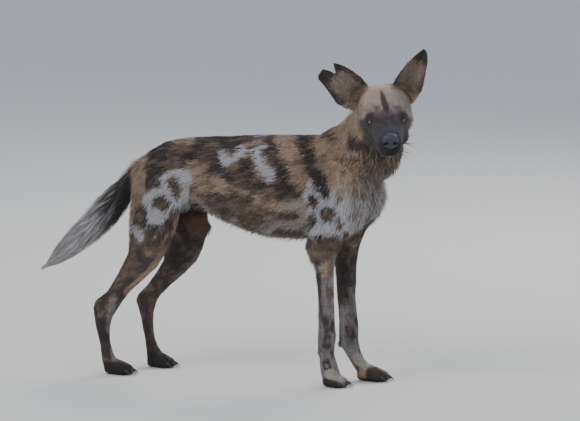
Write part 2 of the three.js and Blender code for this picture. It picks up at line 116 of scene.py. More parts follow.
def add_object(name, data):
    """A new object of the scene with the given data."""
    made = bpy.data.objects.new(name, data)
    bpy.context.scene.collection.objects.link(made)
    return made


camera_data = bpy.data.cameras.new("camera")
camera_data.sensor_width = SENSOR
camera_data.lens = SENSOR * DISTANCE / (PICTURE[0] * PIXEL * MM)
camera_data.clip_end = 100
camera = add_object("camera", camera_data)
across = (PICTURE[0] / 2 - ORIGIN_PIXEL[0]) * PIXEL
above = (ORIGIN_PIXEL[1] - PICTURE[1] / 2) * PIXEL
target = world(RIGHT * across + UP * above)
camera.matrix_world = Matrix(np.array([RIGHT, UP, BACK]).T.tolist()).to_4x4()
camera.location = target + BACK * DISTANCE
bpy.context.scene.camera = camera


def picture_place(points):
    """Where points in body millimetres fall in the picture, in its pixels."""
    u = ORIGIN_PIXEL[0] + points @ RIGHT / PIXEL
    v = ORIGIN_PIXEL[1] - points @ UP / PIXEL
    return np.stack([u, v], 1)


print("lens", round(camera_data.lens, 1))

# %% [markdown]
# ## Floor and light
# A plain pale floor and a soft sky, with one wide lamp from above the camera's left and a weaker
# one behind, stand for the even evening light of the picture.

# %% Floor and light
bpy.ops.object.select_all(action="DESELECT")
bpy.ops.mesh.primitive_plane_add(size=40, location=(0, 0, 0))
floor = bpy.context.object
floor.name = "floor"
floor_finish = bpy.data.materials.new("floor_finish")
floor_finish.use_nodes = True
floor_shader = floor_finish.node_tree.nodes["Principled BSDF"]
floor_shader.inputs["Base Color"].default_value = (0.62, 0.62, 0.60, 1)
floor_shader.inputs["Roughness"].default_value = 0.9
floor.data.materials.append(floor_finish)

sky = bpy.data.worlds.new("sky")
sky.use_nodes = True
sky.node_tree.nodes["Background"].inputs["Color"].default_value = (0.80, 0.87, 1.0, 1)
sky.node_tree.nodes["Background"].inputs["Strength"].default_value = 0.8
bpy.context.scene.world = sky


def lamp(name, place, aim, size, power, colour):
    light = bpy.data.lights.new(name, "AREA")
    light.size = size
    light.energy = power
    light.color = colour
    holder = add_object(name, light)
    holder.location = place
    holder.rotation_euler = (Vector(aim) - Vector(place)).to_track_quat("-Z", "Y").to_euler()


lamp("key", (-1.6, -3.2, 3.6), (0, 0, 0.4), 2.2, 125, (1.0, 0.96, 0.90))
lamp("fill", (3.2, -2.4, 1.8), (0.2, 0, 0.4), 3.0, 26, (0.90, 0.95, 1.0))
lamp("rim", (0.5, 3.4, 3.2), (0, 0, 0.5), 2.2, 110, (1.0, 0.93, 0.84))
print("lights set")

# %% [markdown]
# ## Helpers for closed forms
# Long hair grows from a core, and a core is a tube whose sections change along a path. The stations
# of a tube are its centre and its half sizes to the side, up and down, and a smooth curve through
# them gives every section between.

# %% Curves and tubes
def smooth_curve(points, t):
    """A Catmull-Rom curve through the rows of points, at shares t of its length."""
    points = np.asarray(points, float)
    ends = np.vstack([2 * points[0] - points[1], points, 2 * points[-1] - points[-2]])
    place = np.clip(t, 0, 1) * (len(points) - 1)
    i = np.minimum(place.astype(int), len(points) - 2)
    f = (place - i)[:, None]
    a, b, c, d = ends[i], ends[i + 1], ends[i + 2], ends[i + 3]
    bend, twist = 2 * a - 5 * b + 4 * c - d, 3 * b - a - 3 * c + d
    return 0.5 * (2 * b + (c - a) * f + bend * f**2 + twist * f**3)


def unit(vectors):
    return vectors / np.maximum(np.linalg.norm(vectors, axis=-1, keepdims=True), 1e-9)


def form_frame(stations, t):
    """Centre, half sizes, forward, aside and upright of a form at shares t."""
    values = smooth_curve(stations, t)
    step = 0.01
    ahead, behind = smooth_curve(stations, t + step), smooth_curve(stations, t - step)
    forward = unit(ahead[:, :3] - behind[:, :3])
    aside = unit(np.cross([0, 0, 1.0], forward))
    upright = np.cross(forward, aside)
    return values[:, :3], values[:, 3:], forward, aside, upright


def form_point(stations, t, angle, share=1.0):
    """Points on a form at shares t, at an angle in the section, 90 degrees being up."""
    centre, half, _, aside, upright = form_frame(stations, t)
    across, high = np.cos(angle), np.sin(angle)
    rise = np.where(high > 0, half[:, 1], half[:, 2])
    share = np.broadcast_to(share, across.shape)
    sideways = aside * (across * half[:, 0] * share)[:, None]
    return centre + sideways + upright * (high * rise * share)[:, None]


def tube(name, stations, sides=24, rings=30):
    """A closed tube through the stations, as a new object."""
    t = np.repeat(np.linspace(0, 1, rings), sides)
    angle = np.tile(np.linspace(0, 2 * math.pi, sides, endpoint=False), rings)
    verts = world(form_point(stations, t, angle))
    faces = []
    for r in range(rings - 1):
        for s in range(sides):
            a, b = r * sides + s, r * sides + (s + 1) % sides
            faces.append((a, b, b + sides, a + sides))
    faces.append(tuple(reversed(range(sides))))
    faces.append(tuple(range((rings - 1) * sides, rings * sides)))
    mesh = bpy.data.meshes.new(name)
    mesh.from_pydata(verts.tolist(), [], faces)
    mesh.update()
    return add_object(name, mesh)


print("curves and tubes ready")

# %% [markdown]
# ## The cores of neck and tail
# In the model these two carry locks. The skin may not follow the locks, so it takes plain cores
# instead: the throat without its ruff, and the thin tail inside its brush.

# %% Cores
THROAT_CORE = 0.74
NECK = np.array([
    [248, 0, 590, 72, 80, 112],
    [285, -2, 628, 70, 78, 126],
    [320, -6, 666, 66, 62, 146],
    [352, -15, 704, 64, 50, 141],
    [382, -26, 740, 60, 42, 112],
    [404, -36, 768, 48, 32, 56],
], float)
TAIL = np.array([
    [-240, 0, 590, 26, 24, 26],
    [-276, 0, 580, 27, 26, 28],
    [-306, 0, 553, 27, 27, 28],
    [-334, 0, 522, 26, 27, 28],
    [-356, 0, 490, 27, 31, 32],
    [-390, 1, 447, 31, 38, 37],
    [-430, 2, 402, 33, 39, 36],
    [-477, 4, 358, 31, 36, 31],
    [-521, 5, 320, 24, 28, 23],
    [-556, 6, 291, 14, 16, 13],
    [-580, 6, 275, 4, 4, 4],
], float)
TAIL_CORE = np.array([0.8, 0.74, 0.68, 0.6, 0.48, 0.36, 0.33, 0.32, 0.34, 0.4, 0.6])
neck_core_stations = NECK * [1, 1, 1, 0.97, 1, THROAT_CORE]
tail_core_stations = TAIL.copy()
tail_core_stations[:, 3:] *= TAIL_CORE[:, None]
neck_core = tube("neck_core", neck_core_stations)
tail_core = tube("tail_core", tail_core_stations)
print("cores made")

# %% [markdown]
# ## One skin
# The nodes of flesh are copied, swollen by 0.6 mm so that they run into each other, and joined. A
# voxel remesh makes one surface of them and smoothing takes away the facets. A skin modelled by
# hand over the body would do as well, but this one keeps its exact proportions.

# %% Flesh nodes, and helpers for meshes
SKIN_NODES = ["torso", "head", "ear_left", "ear_right", "sheath"]
for side in ("left", "right"):
    for part in ("foreleg", "forepaw", "hind_shank", "hind_cannon", "hind_paw"):
        SKIN_NODES.append(f"{part}_{side}")
WELD = 0.01 * MM
SWELL = 0.6 * MM
VOXEL = 2.1 * MM


def arrays(mesh):
    """Vertex places, vertex normals and triangles of a mesh as arrays."""
    place = np.empty(len(mesh.vertices) * 3, np.float32)
    mesh.vertices.foreach_get("co", place)
    normal = np.empty(len(mesh.vertices) * 3, np.float32)
    mesh.vertex_normals.foreach_get("vector", normal)
    mesh.calc_loop_triangles()
    tris = np.empty(len(mesh.loop_triangles) * 3, np.int32)
    mesh.loop_triangles.foreach_get("vertices", tris)
    place, normal = place.reshape(-1, 3).astype(float), normal.reshape(-1, 3).astype(float)
    return place, normal, tris.reshape(-1, 3)


def set_places(mesh, place):
    mesh.vertices.foreach_set("co", place.astype(np.float32).ravel())
    mesh.update()


def select_only(*pieces):
    bpy.ops.object.select_all(action="DESELECT")
    for piece in pieces:
        piece.select_set(True)
    bpy.context.view_layer.objects.active = pieces[0]


def apply_modifier(piece, kind, **settings):
    modifier = piece.modifiers.new(kind.lower(), kind)
    for key, value in settings.items():
        setattr(modifier, key, value)
    select_only(piece)
    bpy.ops.object.modifier_apply(modifier=modifier.name)


def node_copy(name, swell=0.0):
    """A copy of a node with its corners joined, moved out along its normals by swell."""
    mesh = frame["nodes"][name].data.copy()
    piece = add_object(f"{name}_copy", mesh)
    mesh.materials.clear()
    select_only(piece)
    bpy.ops.object.mode_set(mode="EDIT")
    bpy.ops.mesh.select_all(action="SELECT")
    bpy.ops.mesh.remove_doubles(threshold=WELD)
    bpy.ops.object.mode_set(mode="OBJECT")
    place, normal, _ = arrays(mesh)
    set_places(mesh, place + normal * swell)
    return piece


print(len(SKIN_NODES), "nodes of flesh")

# %% Join and remesh
pieces = [node_copy(name, SWELL) for name in SKIN_NODES] + [neck_core, tail_core]
select_only(*pieces)
bpy.ops.object.join()
skin = bpy.context.object
skin.name = "skin"
skin.data.name = "skin"
apply_modifier(skin, "REMESH", mode="VOXEL", voxel_size=VOXEL)
print("skin quads", len(skin.data.polygons))

# %% [markdown]
# ## The head's own frame
# The face is shaped and coloured in the head's frame: x to the nose, y to the animal's left, z to
# the crown. Its turn, nod and tilt are those of the body.

# %% Head frame
SKULL = np.array([404, -38, 761.0])
HEAD_TURN, HEAD_NOD, HEAD_TILT = 65.5, 10, 2
head_turn = (
    Matrix.Rotation(-math.radians(HEAD_TURN), 3, "Z")
    @ Matrix.Rotation(math.radians(HEAD_NOD), 3, "Y")
    @ Matrix.Rotation(math.radians(HEAD_TILT), 3, "X")
)
HEAD_AXES = np.array(head_turn)
EYE = np.array([107, 40, -8.0])
EYE_RADIUS = 12.0
# Base and tip of each ear's middle line, in the head's frame.
EARS = {
    "right": np.array([[22, -64, 30], [24, -149, 111]], float),
    "left": np.array([[22, 50, 37], [24, 107, 150]], float),
}


def to_head(points):
    return (points - SKULL) @ HEAD_AXES


def from_head(points):
    return np.asarray(points, float) @ HEAD_AXES.T + SKULL


print("skull at", world(SKULL).round(3))

# %% Ramps, distances, ears and eyes
def ramp(value, low, high):
    """0 below low, 1 above high, smooth between."""
    t = np.clip((value - low) / (high - low), 0, 1)
    return t * t * (3 - 2 * t)


def near_segment(points, a, b):
    """Distance of points from the segment a to b."""
    a, b = np.asarray(a, float), np.asarray(b, float)
    way = b - a
    t = np.clip(((points - a) @ way) / max(way @ way, 1e-9), 0, 1)
    return np.linalg.norm(points - a - t[:, None] * way, axis=1)


def near_path(points, path):
    if len(path) == 1:
        return np.linalg.norm(points - np.asarray(path[0], float), axis=1)
    return np.min([near_segment(points, a, b) for a, b in zip(path[:-1], path[1:])], axis=0)


def along_ear(spot, base, tip):
    """Millimetres along an ear and off its middle line, for places in the head's frame."""
    return (spot - base) @ unit(tip - base), near_segment(spot, base, tip)


def head_masks(points):
    """How much each body place is on an ear, and its distance from the nearer eye."""
    spot = to_head(points)
    ears = np.zeros(len(points))
    for base, tip in EARS.values():
        along, off = along_ear(spot, base, tip)
        ears = np.maximum(ears, ramp(along, 8, 30) * (1 - ramp(off, 62, 75)))
    eyes = np.min([np.linalg.norm(spot - EYE * [1, hand, 1], axis=1) for hand in (-1, 1)], axis=0)
    return ears, eyes


print("eyes at", world(from_head(EYE)).round(3), world(from_head(EYE * [1, -1, 1])).round(3))

# %% [markdown]
# ## Smoothing
# A vertex group says how much each place is smoothed. The ears and the rims of the eyes stay sharp,
# and the rest loses its facets. A second group covers the region where jaw, cheek and muzzle run
# into each other, which is smoothed much more.

# %% Smooth the skin
def weigh_vertices(name, weights, levels=20):
    """A vertex group of the skin, with weights from 0 to 1 in even steps."""
    group = skin.vertex_groups.new(name=name)
    steps = np.round(weights * levels).astype(int)
    for step in np.unique(steps[steps > 0]):
        group.add(np.flatnonzero(steps == step).tolist(), step / levels, "REPLACE")


place, _, _ = arrays(skin.data)
mm_place = body(place)
face_place = to_head(mm_place)
on_ear, eye_off = head_masks(mm_place)
keep_sharp = np.maximum(on_ear, 1 - ramp(eye_off, 14, 24))
weigh_vertices("smooth", 1 - keep_sharp * 0.93)
apply_modifier(skin, "SMOOTH", factor=0.6, iterations=22, vertex_group="smooth")

on_jaw = ramp(face_place[:, 0], 34, 60) * (1 - ramp(face_place[:, 0], 134, 160))
on_jaw = on_jaw * ramp(-face_place[:, 2], 10, 30) * ramp(np.abs(face_place[:, 1]), 12, 26)
on_jaw = on_jaw * ramp(eye_off, 18, 32)
on_jaw = on_jaw * (1 - ramp(np.abs(face_place[:, 1]), 90, 100)) * (mm_place[:, 2] > 600)
weigh_vertices("jaw", on_jaw, 10)
apply_modifier(skin, "SMOOTH", factor=0.9, iterations=170, vertex_group="jaw")
print("skin smoothed", len(place))

# %% [markdown]
# ## Form of flesh under the coat
# A lean dog shows its muscles: a hollow before the thigh, the edge of the shoulder, sinews down the
# legs. They are too low for the carved body, so the skin is moved along its normals here, by a few
# millimetres. The same step presses in the line of the mouth and the furrow of the brow.

# %% Mouth line and noise
MOUTH = [
    (104, 50, -54), (124, 43, -62), (150, 37, -67), (178, 31, -69), (198, 20, -69), (207, 7, -70),
]


def lattice(cell, seed):
    """A repeatable number from 0 to 1 for each cell of a grid."""
    n = cell[:, 0] * 374761393 + cell[:, 1] * 668265263 + cell[:, 2] * 2147483647
    n = n + seed * 1274126177
    n = (n ^ (n >> 13)) * 1274126177
    n = n ^ (n >> 16)
    return (n & 0xFFFFFF) / 0xFFFFFF


def noise(points, size, seed=0):
    """Smooth noise from 0 to 1 with features of the given size."""
    spot = points / size
    low = np.floor(spot).astype(np.int64)
    f = spot - low
    f = f * f * (3 - 2 * f)
    total = 0
    for corner in range(8):
        step = np.array([corner & 1, corner >> 1 & 1, corner >> 2 & 1])
        weight = np.prod(np.where(step, f, 1 - f), axis=1)
        total = total + weight * lattice(low + step, seed)
    return total


def rough_noise(points, size, seed=0):
    return (noise(points, size, seed) * 4 + noise(points, size / 2, seed + 1) * 2
            + noise(points, size / 4, seed + 2)) / 7


print("noise ready")

# %% Muscles and sinews
# Path in body millimetres, reach and height of each swelling, hollows being below zero.
SWELLINGS = [
    ([(222, -86, 640), (262, -92, 560), (300, -84, 480)], 20, 3.5),
    ([(168, -92, 610), (205, -94, 520), (248, -90, 430)], 13, -3.0),
    ([(222, 86, 640), (262, 92, 560), (300, 84, 480)], 20, 3.5),
    ([(168, 92, 610), (205, 94, 520), (248, 90, 430)], 13, -3.0),
    ([(-160, -84, 600), (-176, -86, 520), (-186, -80, 440)], 15, -4.0),
    ([(-160, 84, 600), (-150, 86, 520), (-140, 80, 440)], 15, -4.0),
    ([(-215, -84, 590), (-240, -88, 520)], 34, 4.0),
    ([(-215, 84, 590), (-230, 88, 520)], 34, 4.0),
    ([(-282, -66, 560), (-300, -70, 440)], 12, -2.5),
    ([(-282, 66, 560), (-282, 70, 440)], 12, -2.5),
]
RIBS = [(x, x - 34) for x in range(-20, 170, 27)]

place, normal, _ = arrays(skin.data)
mm_place = body(place)
face_place = to_head(mm_place)
lift = np.zeros(len(place))
for path, reach, height in SWELLINGS:
    lift += height * np.exp(-(near_path(mm_place, path) / reach) ** 2)
for top, bottom in RIBS:
    for hand in (-1, 1):
        rib = near_path(mm_place, [(top, 86 * hand, 590), (bottom, 84 * hand, 470)])
        lift += 1.1 * np.exp(-(rib / 8) ** 2)
for hand in (-1, 1):
    lips = near_path(face_place, [(x, y * hand, z) for x, y, z in MOUTH])
    lift -= 3.0 * np.exp(-(lips / 2.4) ** 2)
    stop = near_path(face_place, [(96, 12 * hand, 44), (118, 18 * hand, 20)])
    lift -= 1.6 * np.exp(-(stop / 9) ** 2)
brow = near_path(face_place, [(60, 0, 70), (108, 0, 38)])
lift -= 1.8 * np.exp(-(brow / 6) ** 2)
calm = 1 - np.maximum(on_ear, 1 - ramp(eye_off, 16, 30))
lift += (rough_noise(mm_place, 38, 5) - 0.5) * 3.0 * calm
set_places(skin.data, place + normal * (lift * MM)[:, None])
apply_modifier(skin, "SMOOTH", factor=0.5, iterations=4, vertex_group="smooth")
print("highest lift", round(float(lift.max()), 1), "mm")

# %% [markdown]
# ## Fewer faces, and room for the coat
# The remesh is even, but the trunk needs fewer faces than the face and ears. A decimate modifier
# with a vertex group thins it. Then the skin sinks by the depth of the coat that will stand on it:
# five millimetres on the flank, hardly any on the ears and round the eyes.

# %% Thin the mesh and sink the skin
SKIN_FACES = 188_000
PAW_TOP = 70


def coat_depth(points, ears, eyes):
    """How far the coat stands over the skin, in millimetres, at body places."""
    spot = to_head(points)
    on_head = ramp(spot[:, 0], -40, 0) * (1 - ramp(np.abs(spot[:, 1]), 90, 110))
    on_head = on_head * ramp(points[:, 2], 560, 640)
    on_leg = 1 - ramp(points[:, 2], 330, 470)
    depth = 5.0 - 2.8 * on_leg
    depth = np.where(points[:, 2] < PAW_TOP, 1.4, depth)
    depth = depth * (1 - on_head) + on_head * (2.6 - 1.5 * ramp(spot[:, 0], 70, 150))
    depth = depth * (1 - ears) + 0.5 * ears
    return depth * ramp(eyes, 13, 34)


fine = np.maximum(keep_sharp, ramp(face_place[:, 0], 30, 60) * (mm_place[:, 2] > 620))
fine = np.maximum(fine, (mm_place[:, 2] < PAW_TOP) * 0.6)
weigh_vertices("thin", 1 - fine * 0.92)
skin.data.calc_loop_triangles()
ratio = SKIN_FACES / len(skin.data.loop_triangles)
apply_modifier(skin, "DECIMATE", ratio=ratio, vertex_group="thin", vertex_group_factor=1.0)
apply_modifier(skin, "TRIANGULATE")

place, normal, _ = arrays(skin.data)
mm_place = body(place)
ears, eyes = head_masks(mm_place)
depth = coat_depth(mm_place, ears, eyes)
set_places(skin.data, place - normal * (depth * MM)[:, None])
apply_modifier(skin, "SMOOTH", factor=0.4, iterations=2, vertex_group="smooth")
skin.vertex_groups.clear()
select_only(skin)
bpy.ops.object.shade_smooth()
print("skin triangles", len(skin.data.polygons))

# %% [markdown]
# ## The markings
# No two wild dogs are marked alike. This one is black and tan above, white with ringed spots on
# shoulder and thigh, and tan on the neck. The markings are painted as strokes: a colour, a
# width and a path on the picture, seen from the camera. The other side of the animal has strokes
# of its own on the mirrored body. Edges are ragged by noise, since they are made of hairs.

# %% Colours
def linear(red, green, blue):
    value = np.array([red, green, blue]) / 255
    return np.where(value <= 0.04045, value / 12.92, ((value + 0.055) / 1.055) ** 2.4)


COLOURS = {
    "black": linear(44, 37, 38),
    "dark": linear(64, 53, 50),
    "brown": linear(98, 80, 66),
    "tan": linear(162, 138, 116),
    "sand": linear(184, 163, 146),
    "grey": linear(120, 112, 112),
    "white": linear(184, 182, 187),
    "cream": linear(156, 146, 137),
    "rust": linear(88, 58, 46),
    "mask": linear(33, 30, 33),
    "shin": linear(126, 120, 124),
}
print(len(COLOURS), "colours")

# %% [markdown]
# Later strokes cover earlier ones. A ringed spot is a dark stroke with a smaller brown one on it.

# %% Strokes on the right side
# Each stroke is a colour, its half width in picture pixels, and its path.
RIGHT_BODY = [
    ("brown", 18, [(200, 190), (290, 200)]),
    ("tan", 9, [(138, 166), (141, 205)]),
    ("tan", 6, [(146, 158), (136, 172)]),
    ("black", 7, [(178, 143), (164, 148), (157, 158)]),
    ("black", 7, [(164, 152), (156, 165), (154, 184)]),
    ("black", 5, [(160, 165), (168, 178)]),
    ("tan", 4.5, [(182, 142), (200, 141)]),
    ("brown", 6, [(176, 152), (188, 150)]),
    ("brown", 7, [(174, 166), (186, 168)]),
    ("black", 4.5, [(202, 140), (222, 138), (250, 140), (277, 139)]),
    ("black", 6, [(196, 152), (212, 147), (228, 147)]),
    ("black", 5, [(188, 158), (193, 170), (190, 178)]),
    ("black", 6, [(212, 156), (222, 168)]),
    ("black", 4, [(228, 148), (245, 145)]),
    ("tan", 6, [(198, 166), (204, 184), (216, 192)]),
    ("tan", 5, [(218, 180), (232, 190), (250, 196)]),
    ("brown", 7, [(232, 174), (246, 180)]),
    ("black", 4, [(224, 172), (236, 178)]),
    ("black", 4, [(214, 194), (230, 200)]),
    ("black", 4.5, [(246, 162), (254, 178), (264, 186)]),
    ("black", 3.5, [(236, 196), (262, 200)]),
    ("black", 7, [(271, 146), (280, 160), (288, 172)]),
    ("black", 7, [(284, 172), (298, 190), (304, 192)]),
    ("black", 5, [(264, 184), (284, 192)]),
    ("white", 3.8, [(226, 154), (229, 163), (237, 159)]),
    ("white", 3.4, [(236, 160), (242, 155), (246, 150)]),
    ("black", 2.2, [(231, 148), (237, 153)]),
    ("white", 4.8, [(259, 153), (263, 163), (272, 177)]),
    ("white", 1.8, [(262, 149), (267, 148)]),
    ("black", 2.6, [(253, 144), (252, 153), (253, 164)]),
    ("tan", 2.5, [(250, 146), (262, 143)]),
    ("white", 1.3, [(261, 136.5), (270, 137)]),
    ("tan", 9, [(289, 138), (291, 150), (297, 164)]),
    ("tan", 7, [(284, 140), (304, 176)]),
    ("black", 5.5, [(316, 135), (308, 142), (309, 160), (316, 176)]),
    ("black", 5, [(316, 174), (328, 184), (333, 194)]),
    ("tan", 8, [(322, 146), (330, 165), (338, 185)]),
    ("tan", 6, [(296, 176), (306, 184)]),
    ("grey", 8, [(226, 214), (250, 222), (300, 224)]),
    ("cream", 5, [(232, 222), (262, 228), (300, 226)]),
    ("cream", 5, [(280, 207), (300, 203)]),
    ("dark", 4, [(284, 214), (298, 216)]),
    ("dark", 3, [(228, 219), (240, 226)]),
    ("dark", 5, [(222, 206), (232, 213)]),
    ("tan", 5, [(262, 200), (276, 206)]),
    ("cream", 3.5, [(196, 196), (206, 204), (224, 222)]),
    ("black", 6.5, [(246, 216), (260, 219)]),
    ("brown", 3.8, [(246, 216), (260, 219)]),
    ("dark", 3.2, [(280, 229), (308, 234)]),
    ("dark", 3.0, [(248, 226), (262, 231)]),
    ("rust", 9, [(198, 218), (200, 236)]),
    ("dark", 8, [(190, 205), (200, 210)]),
    ("white", 8, [(170, 178), (188, 178)]),
    ("white", 8, [(182, 184), (184, 200)]),
    ("white", 11, [(156, 198), (174, 196)]),
    ("white", 10, [(150, 210), (168, 216)]),
    ("white", 7, [(138, 222), (150, 238)]),
    ("tan", 6, [(134, 210), (137, 190)]),
    ("black", 6.4, [(175, 181.5), (176, 183)]),
    ("brown", 3.4, [(175, 181.5), (176, 183)]),
    ("black", 7.4, [(162, 201), (164, 203)]),
    ("brown", 4.0, [(162, 201), (164, 203)]),
    ("black", 8, [(142, 211), (142, 219)]),
    ("brown", 3.6, [(142, 214), (142, 218)]),
    ("dark", 4.2, [(149.5, 231), (150.5, 233)]),
    ("brown", 4, [(178, 194), (181, 188)]),
    ("brown", 5, [(176, 212), (166, 226)]),
    ("dark", 5, [(170, 222), (176, 236)]),
    ("tan", 2.4, [(166, 238), (174, 230), (182, 210)]),
    ("brown", 12, [(140, 246), (160, 248)]),
    ("white", 3, [(137, 226), (141, 238)]),
    ("dark", 3.5, [(152, 242), (146, 250)]),
    ("white", 9, [(314, 196), (330, 196), (346, 192)]),
    ("white", 12, [(320, 210), (340, 210)]),
    ("white", 11, [(320, 226), (344, 224)]),
    ("white", 2.2, [(310, 182), (312, 190)]),
    ("cream", 4, [(303, 205), (306, 226)]),
    ("black", 5.2, [(325, 187), (325, 192)]),
    ("black", 3.6, [(338, 192), (340, 198)]),
    ("black", 4.6, [(313, 197), (315, 203)]),
    ("black", 6.8, [(327, 212), (329, 215)]),
    ("brown", 3.2, [(327, 212), (329, 215)]),
    ("dark", 3.6, [(312, 216), (313.5, 223)]),
    ("brown", 3.8, [(338.5, 222), (339, 226)]),
    ("dark", 2.4, [(345, 230), (347, 232)]),
    ("brown", 8, [(322, 241), (334, 241)]),
    ("black", 3, [(320, 236), (318, 244)]),
]
print(len(RIGHT_BODY), "strokes")

# %% [markdown]
# The left side has strokes of its own, as if it were the right side of a mirrored animal. The legs
# are painted on the outside and on the inside.

# %% Strokes on the left side, and on the legs
LEFT_BODY = [
    ("brown", 18, [(200, 190), (290, 200)]),
    ("tan", 10, [(138, 168), (143, 205)]),
    ("black", 8, [(176, 142), (160, 156), (166, 174)]),
    ("tan", 5, [(182, 142), (200, 141)]),
    ("black", 4.5, [(202, 140), (228, 138), (252, 140), (277, 139)]),
    ("black", 7, [(184, 164), (198, 156), (214, 160)]),
    ("tan", 6, [(206, 150), (224, 152)]),
    ("black", 6, [(222, 166), (240, 152), (256, 152)]),
    ("white", 5, [(232, 178), (244, 166), (252, 164)]),
    ("white", 3, [(196, 176), (206, 184)]),
    ("black", 6, [(252, 176), (268, 164), (276, 150)]),
    ("tan", 6, [(262, 184), (276, 176)]),
    ("tan", 9, [(289, 138), (292, 152), (298, 168)]),
    ("black", 6, [(282, 192), (300, 184), (312, 164), (314, 137)]),
    ("white", 4, [(270, 198), (286, 204)]),
    ("tan", 9, [(324, 146), (332, 168)]),
    ("cream", 10, [(226, 216), (300, 224)]),
    ("black", 6, [(232, 208), (244, 214)]),
    ("brown", 3, [(232, 208), (244, 214)]),
    ("black", 5, [(270, 214), (280, 220)]),
    ("white", 12, [(320, 214), (344, 222)]),
    ("white", 9, [(318, 196), (340, 190)]),
    ("black", 7, [(330, 206), (336, 212)]),
    ("brown", 3.6, [(331, 207), (335, 211)]),
    ("black", 5, [(314, 210), (316, 220)]),
    ("dark", 5, [(336, 232), (328, 240)]),
    ("white", 12, [(156, 196), (176, 206)]),
    ("white", 8, [(150, 222), (160, 236)]),
    ("black", 8, [(168, 192), (164, 198)]),
    ("brown", 4, [(168, 193), (165, 197)]),
    ("black", 6, [(150, 212), (152, 218)]),
    ("dark", 6, [(176, 216), (170, 230)]),
    ("brown", 10, [(140, 250), (164, 246)]),
]
NEAR_FORELEG = [
    ("shin", 30, [(325, 280), (330, 360)]),
    ("grey", 3, [(322, 300), (326, 350)]),
    ("brown", 11, [(318, 250), (330, 252)]),
    ("tan", 5.5, [(330, 262), (322, 272)]),
    ("dark", 3, [(312, 246), (317, 262)]),
    ("white", 2, [(335, 262), (333, 300)]),
    ("dark", 2.8, [(318, 272), (318, 300)]),
    ("white", 2, [(345, 238), (334, 256)]),
    ("brown", 3.6, [(329, 289), (330, 294)]),
    ("dark", 3.0, [(324, 317), (327, 328)]),
    ("dark", 1.8, [(332, 320), (332, 329)]),
    ("dark", 4.2, [(327, 335), (326, 343)]),
    ("grey", 1.4, [(327, 338), (327, 341)]),
    ("dark", 1.6, [(320, 304), (321, 312)]),
    ("dark", 1.8, [(331, 350), (332, 354)]),
    ("dark", 3.4, [(326, 360), (327, 366)]),
    ("grey", 1.4, [(326.5, 363), (327, 364)]),
    ("cream", 6, [(330, 372), (338, 377)]),
    ("dark", 4, [(322, 380), (334, 382)]),
]
FAR_FORELEG = [
    ("dark", 30, [(350, 240), (352, 300)]),
    ("brown", 6, [(352, 232), (358, 250)]),
    ("black", 5, [(342, 262), (344, 300)]),
    ("shin", 9, [(348, 312), (350, 350)]),
    ("grey", 5, [(354, 290), (352, 316)]),
    ("dark", 4.0, [(349, 327), (351, 335)]),
    ("grey", 1.4, [(350, 330), (350, 333)]),
    ("dark", 1.8, [(356, 318), (357, 324)]),
    ("cream", 5, [(356, 356), (364, 364)]),
    ("dark", 7, [(372, 374), (380, 376)]),
]
NEAR_HIND = [
    ("brown", 40, [(140, 250), (105, 350)]),
    ("dark", 9, [(134, 280), (100, 312), (108, 350)]),
    ("tan", 3, [(146, 246), (150, 256)]),
    ("dark", 3.5, [(138, 252), (144, 264), (160, 262)]),
    ("dark", 7, [(150, 262), (128, 284)]),
    ("tan", 3, [(168, 246), (150, 270), (126, 292)]),
    ("dark", 5, [(110, 284), (98, 304)]),
    ("grey", 3.5, [(113, 300), (108, 330)]),
    ("black", 4, [(96, 308), (104, 340)]),
    ("grey", 3, [(112, 350), (114, 358)]),
    ("black", 8, [(106, 370), (130, 372)]),
]
FAR_HIND = [
    ("dark", 60, [(180, 240), (150, 350)]),
    ("black", 8, [(190, 230), (176, 262)]),
    ("brown", 3, [(202, 250), (176, 284)]),
    ("brown", 3.5, [(150, 300), (152, 330)]),
    ("black", 8, [(150, 362), (170, 366)]),
]
print(len(LEFT_BODY), "strokes on the left")

# %% [markdown]
# The painter lays the strokes over a mottled ground in their order. The distance to a path is
# stretched and bent by noise, so the border runs in and out as hair does. It serves the skin's
# vertices and the roots of the tufts alike, and so both carry the same markings.

# %% Painter
def ground(name, count):
    """One colour for each of count points."""
    return np.tile(COLOURS[name], (count, 1))


def lay(colour, layer, amount):
    """Lay a colour over another, by amounts from 0 to 1."""
    return colour * (1 - amount[:, None]) + layer * amount[:, None]


def paint_strokes(colour, spots, points, strokes, where, ragged=1.0):
    """Lay strokes over points that fall on the given spots of the picture."""
    wobble = np.stack([noise(points, 16, 31) - 0.5, noise(points, 16, 47) - 0.5], 1) * 3.4 * ragged
    fray = (rough_noise(points * [0.3, 1, 0.8], 5, 61) - 0.5) * 4.4 * ragged
    moved = spots + wobble
    for name, half, path in strokes:
        off = near_path(moved, [np.array(p, float) for p in path])
        edge = fray * min(1.0, half / 5)
        amount = 1 - ramp(off + edge, half - 1.0, half + 1.0)
        colour = lay(colour, COLOURS[name], amount * where)
    return colour


print("the painter can lay strokes")

# %% [markdown]
# ## The face and the ears
# The face is painted in the head's own frame: a dark mask and muzzle, a stripe up the brow, black
# round the eyes and lips, and ears that are dark behind and brown in front with dark edges.

# %% Face and ears
# How far to the animal's left the dark stripe of the brow stands, from its top to its foot.
STRIPE_ALONG = [70, 84, 100, 112, 126]
STRIPE_SIDE = [-10, -7, -4, -1, 0]
STRIPE_WIDE = [2.5, 5.5, 8.0, 7.0, 2.5]
# Half width of an ear at shares of its length.
EAR_ALONG = [0, 0.3, 0.6, 0.85, 1.05]
EAR_WIDE = [38, 42, 36, 28, 10]


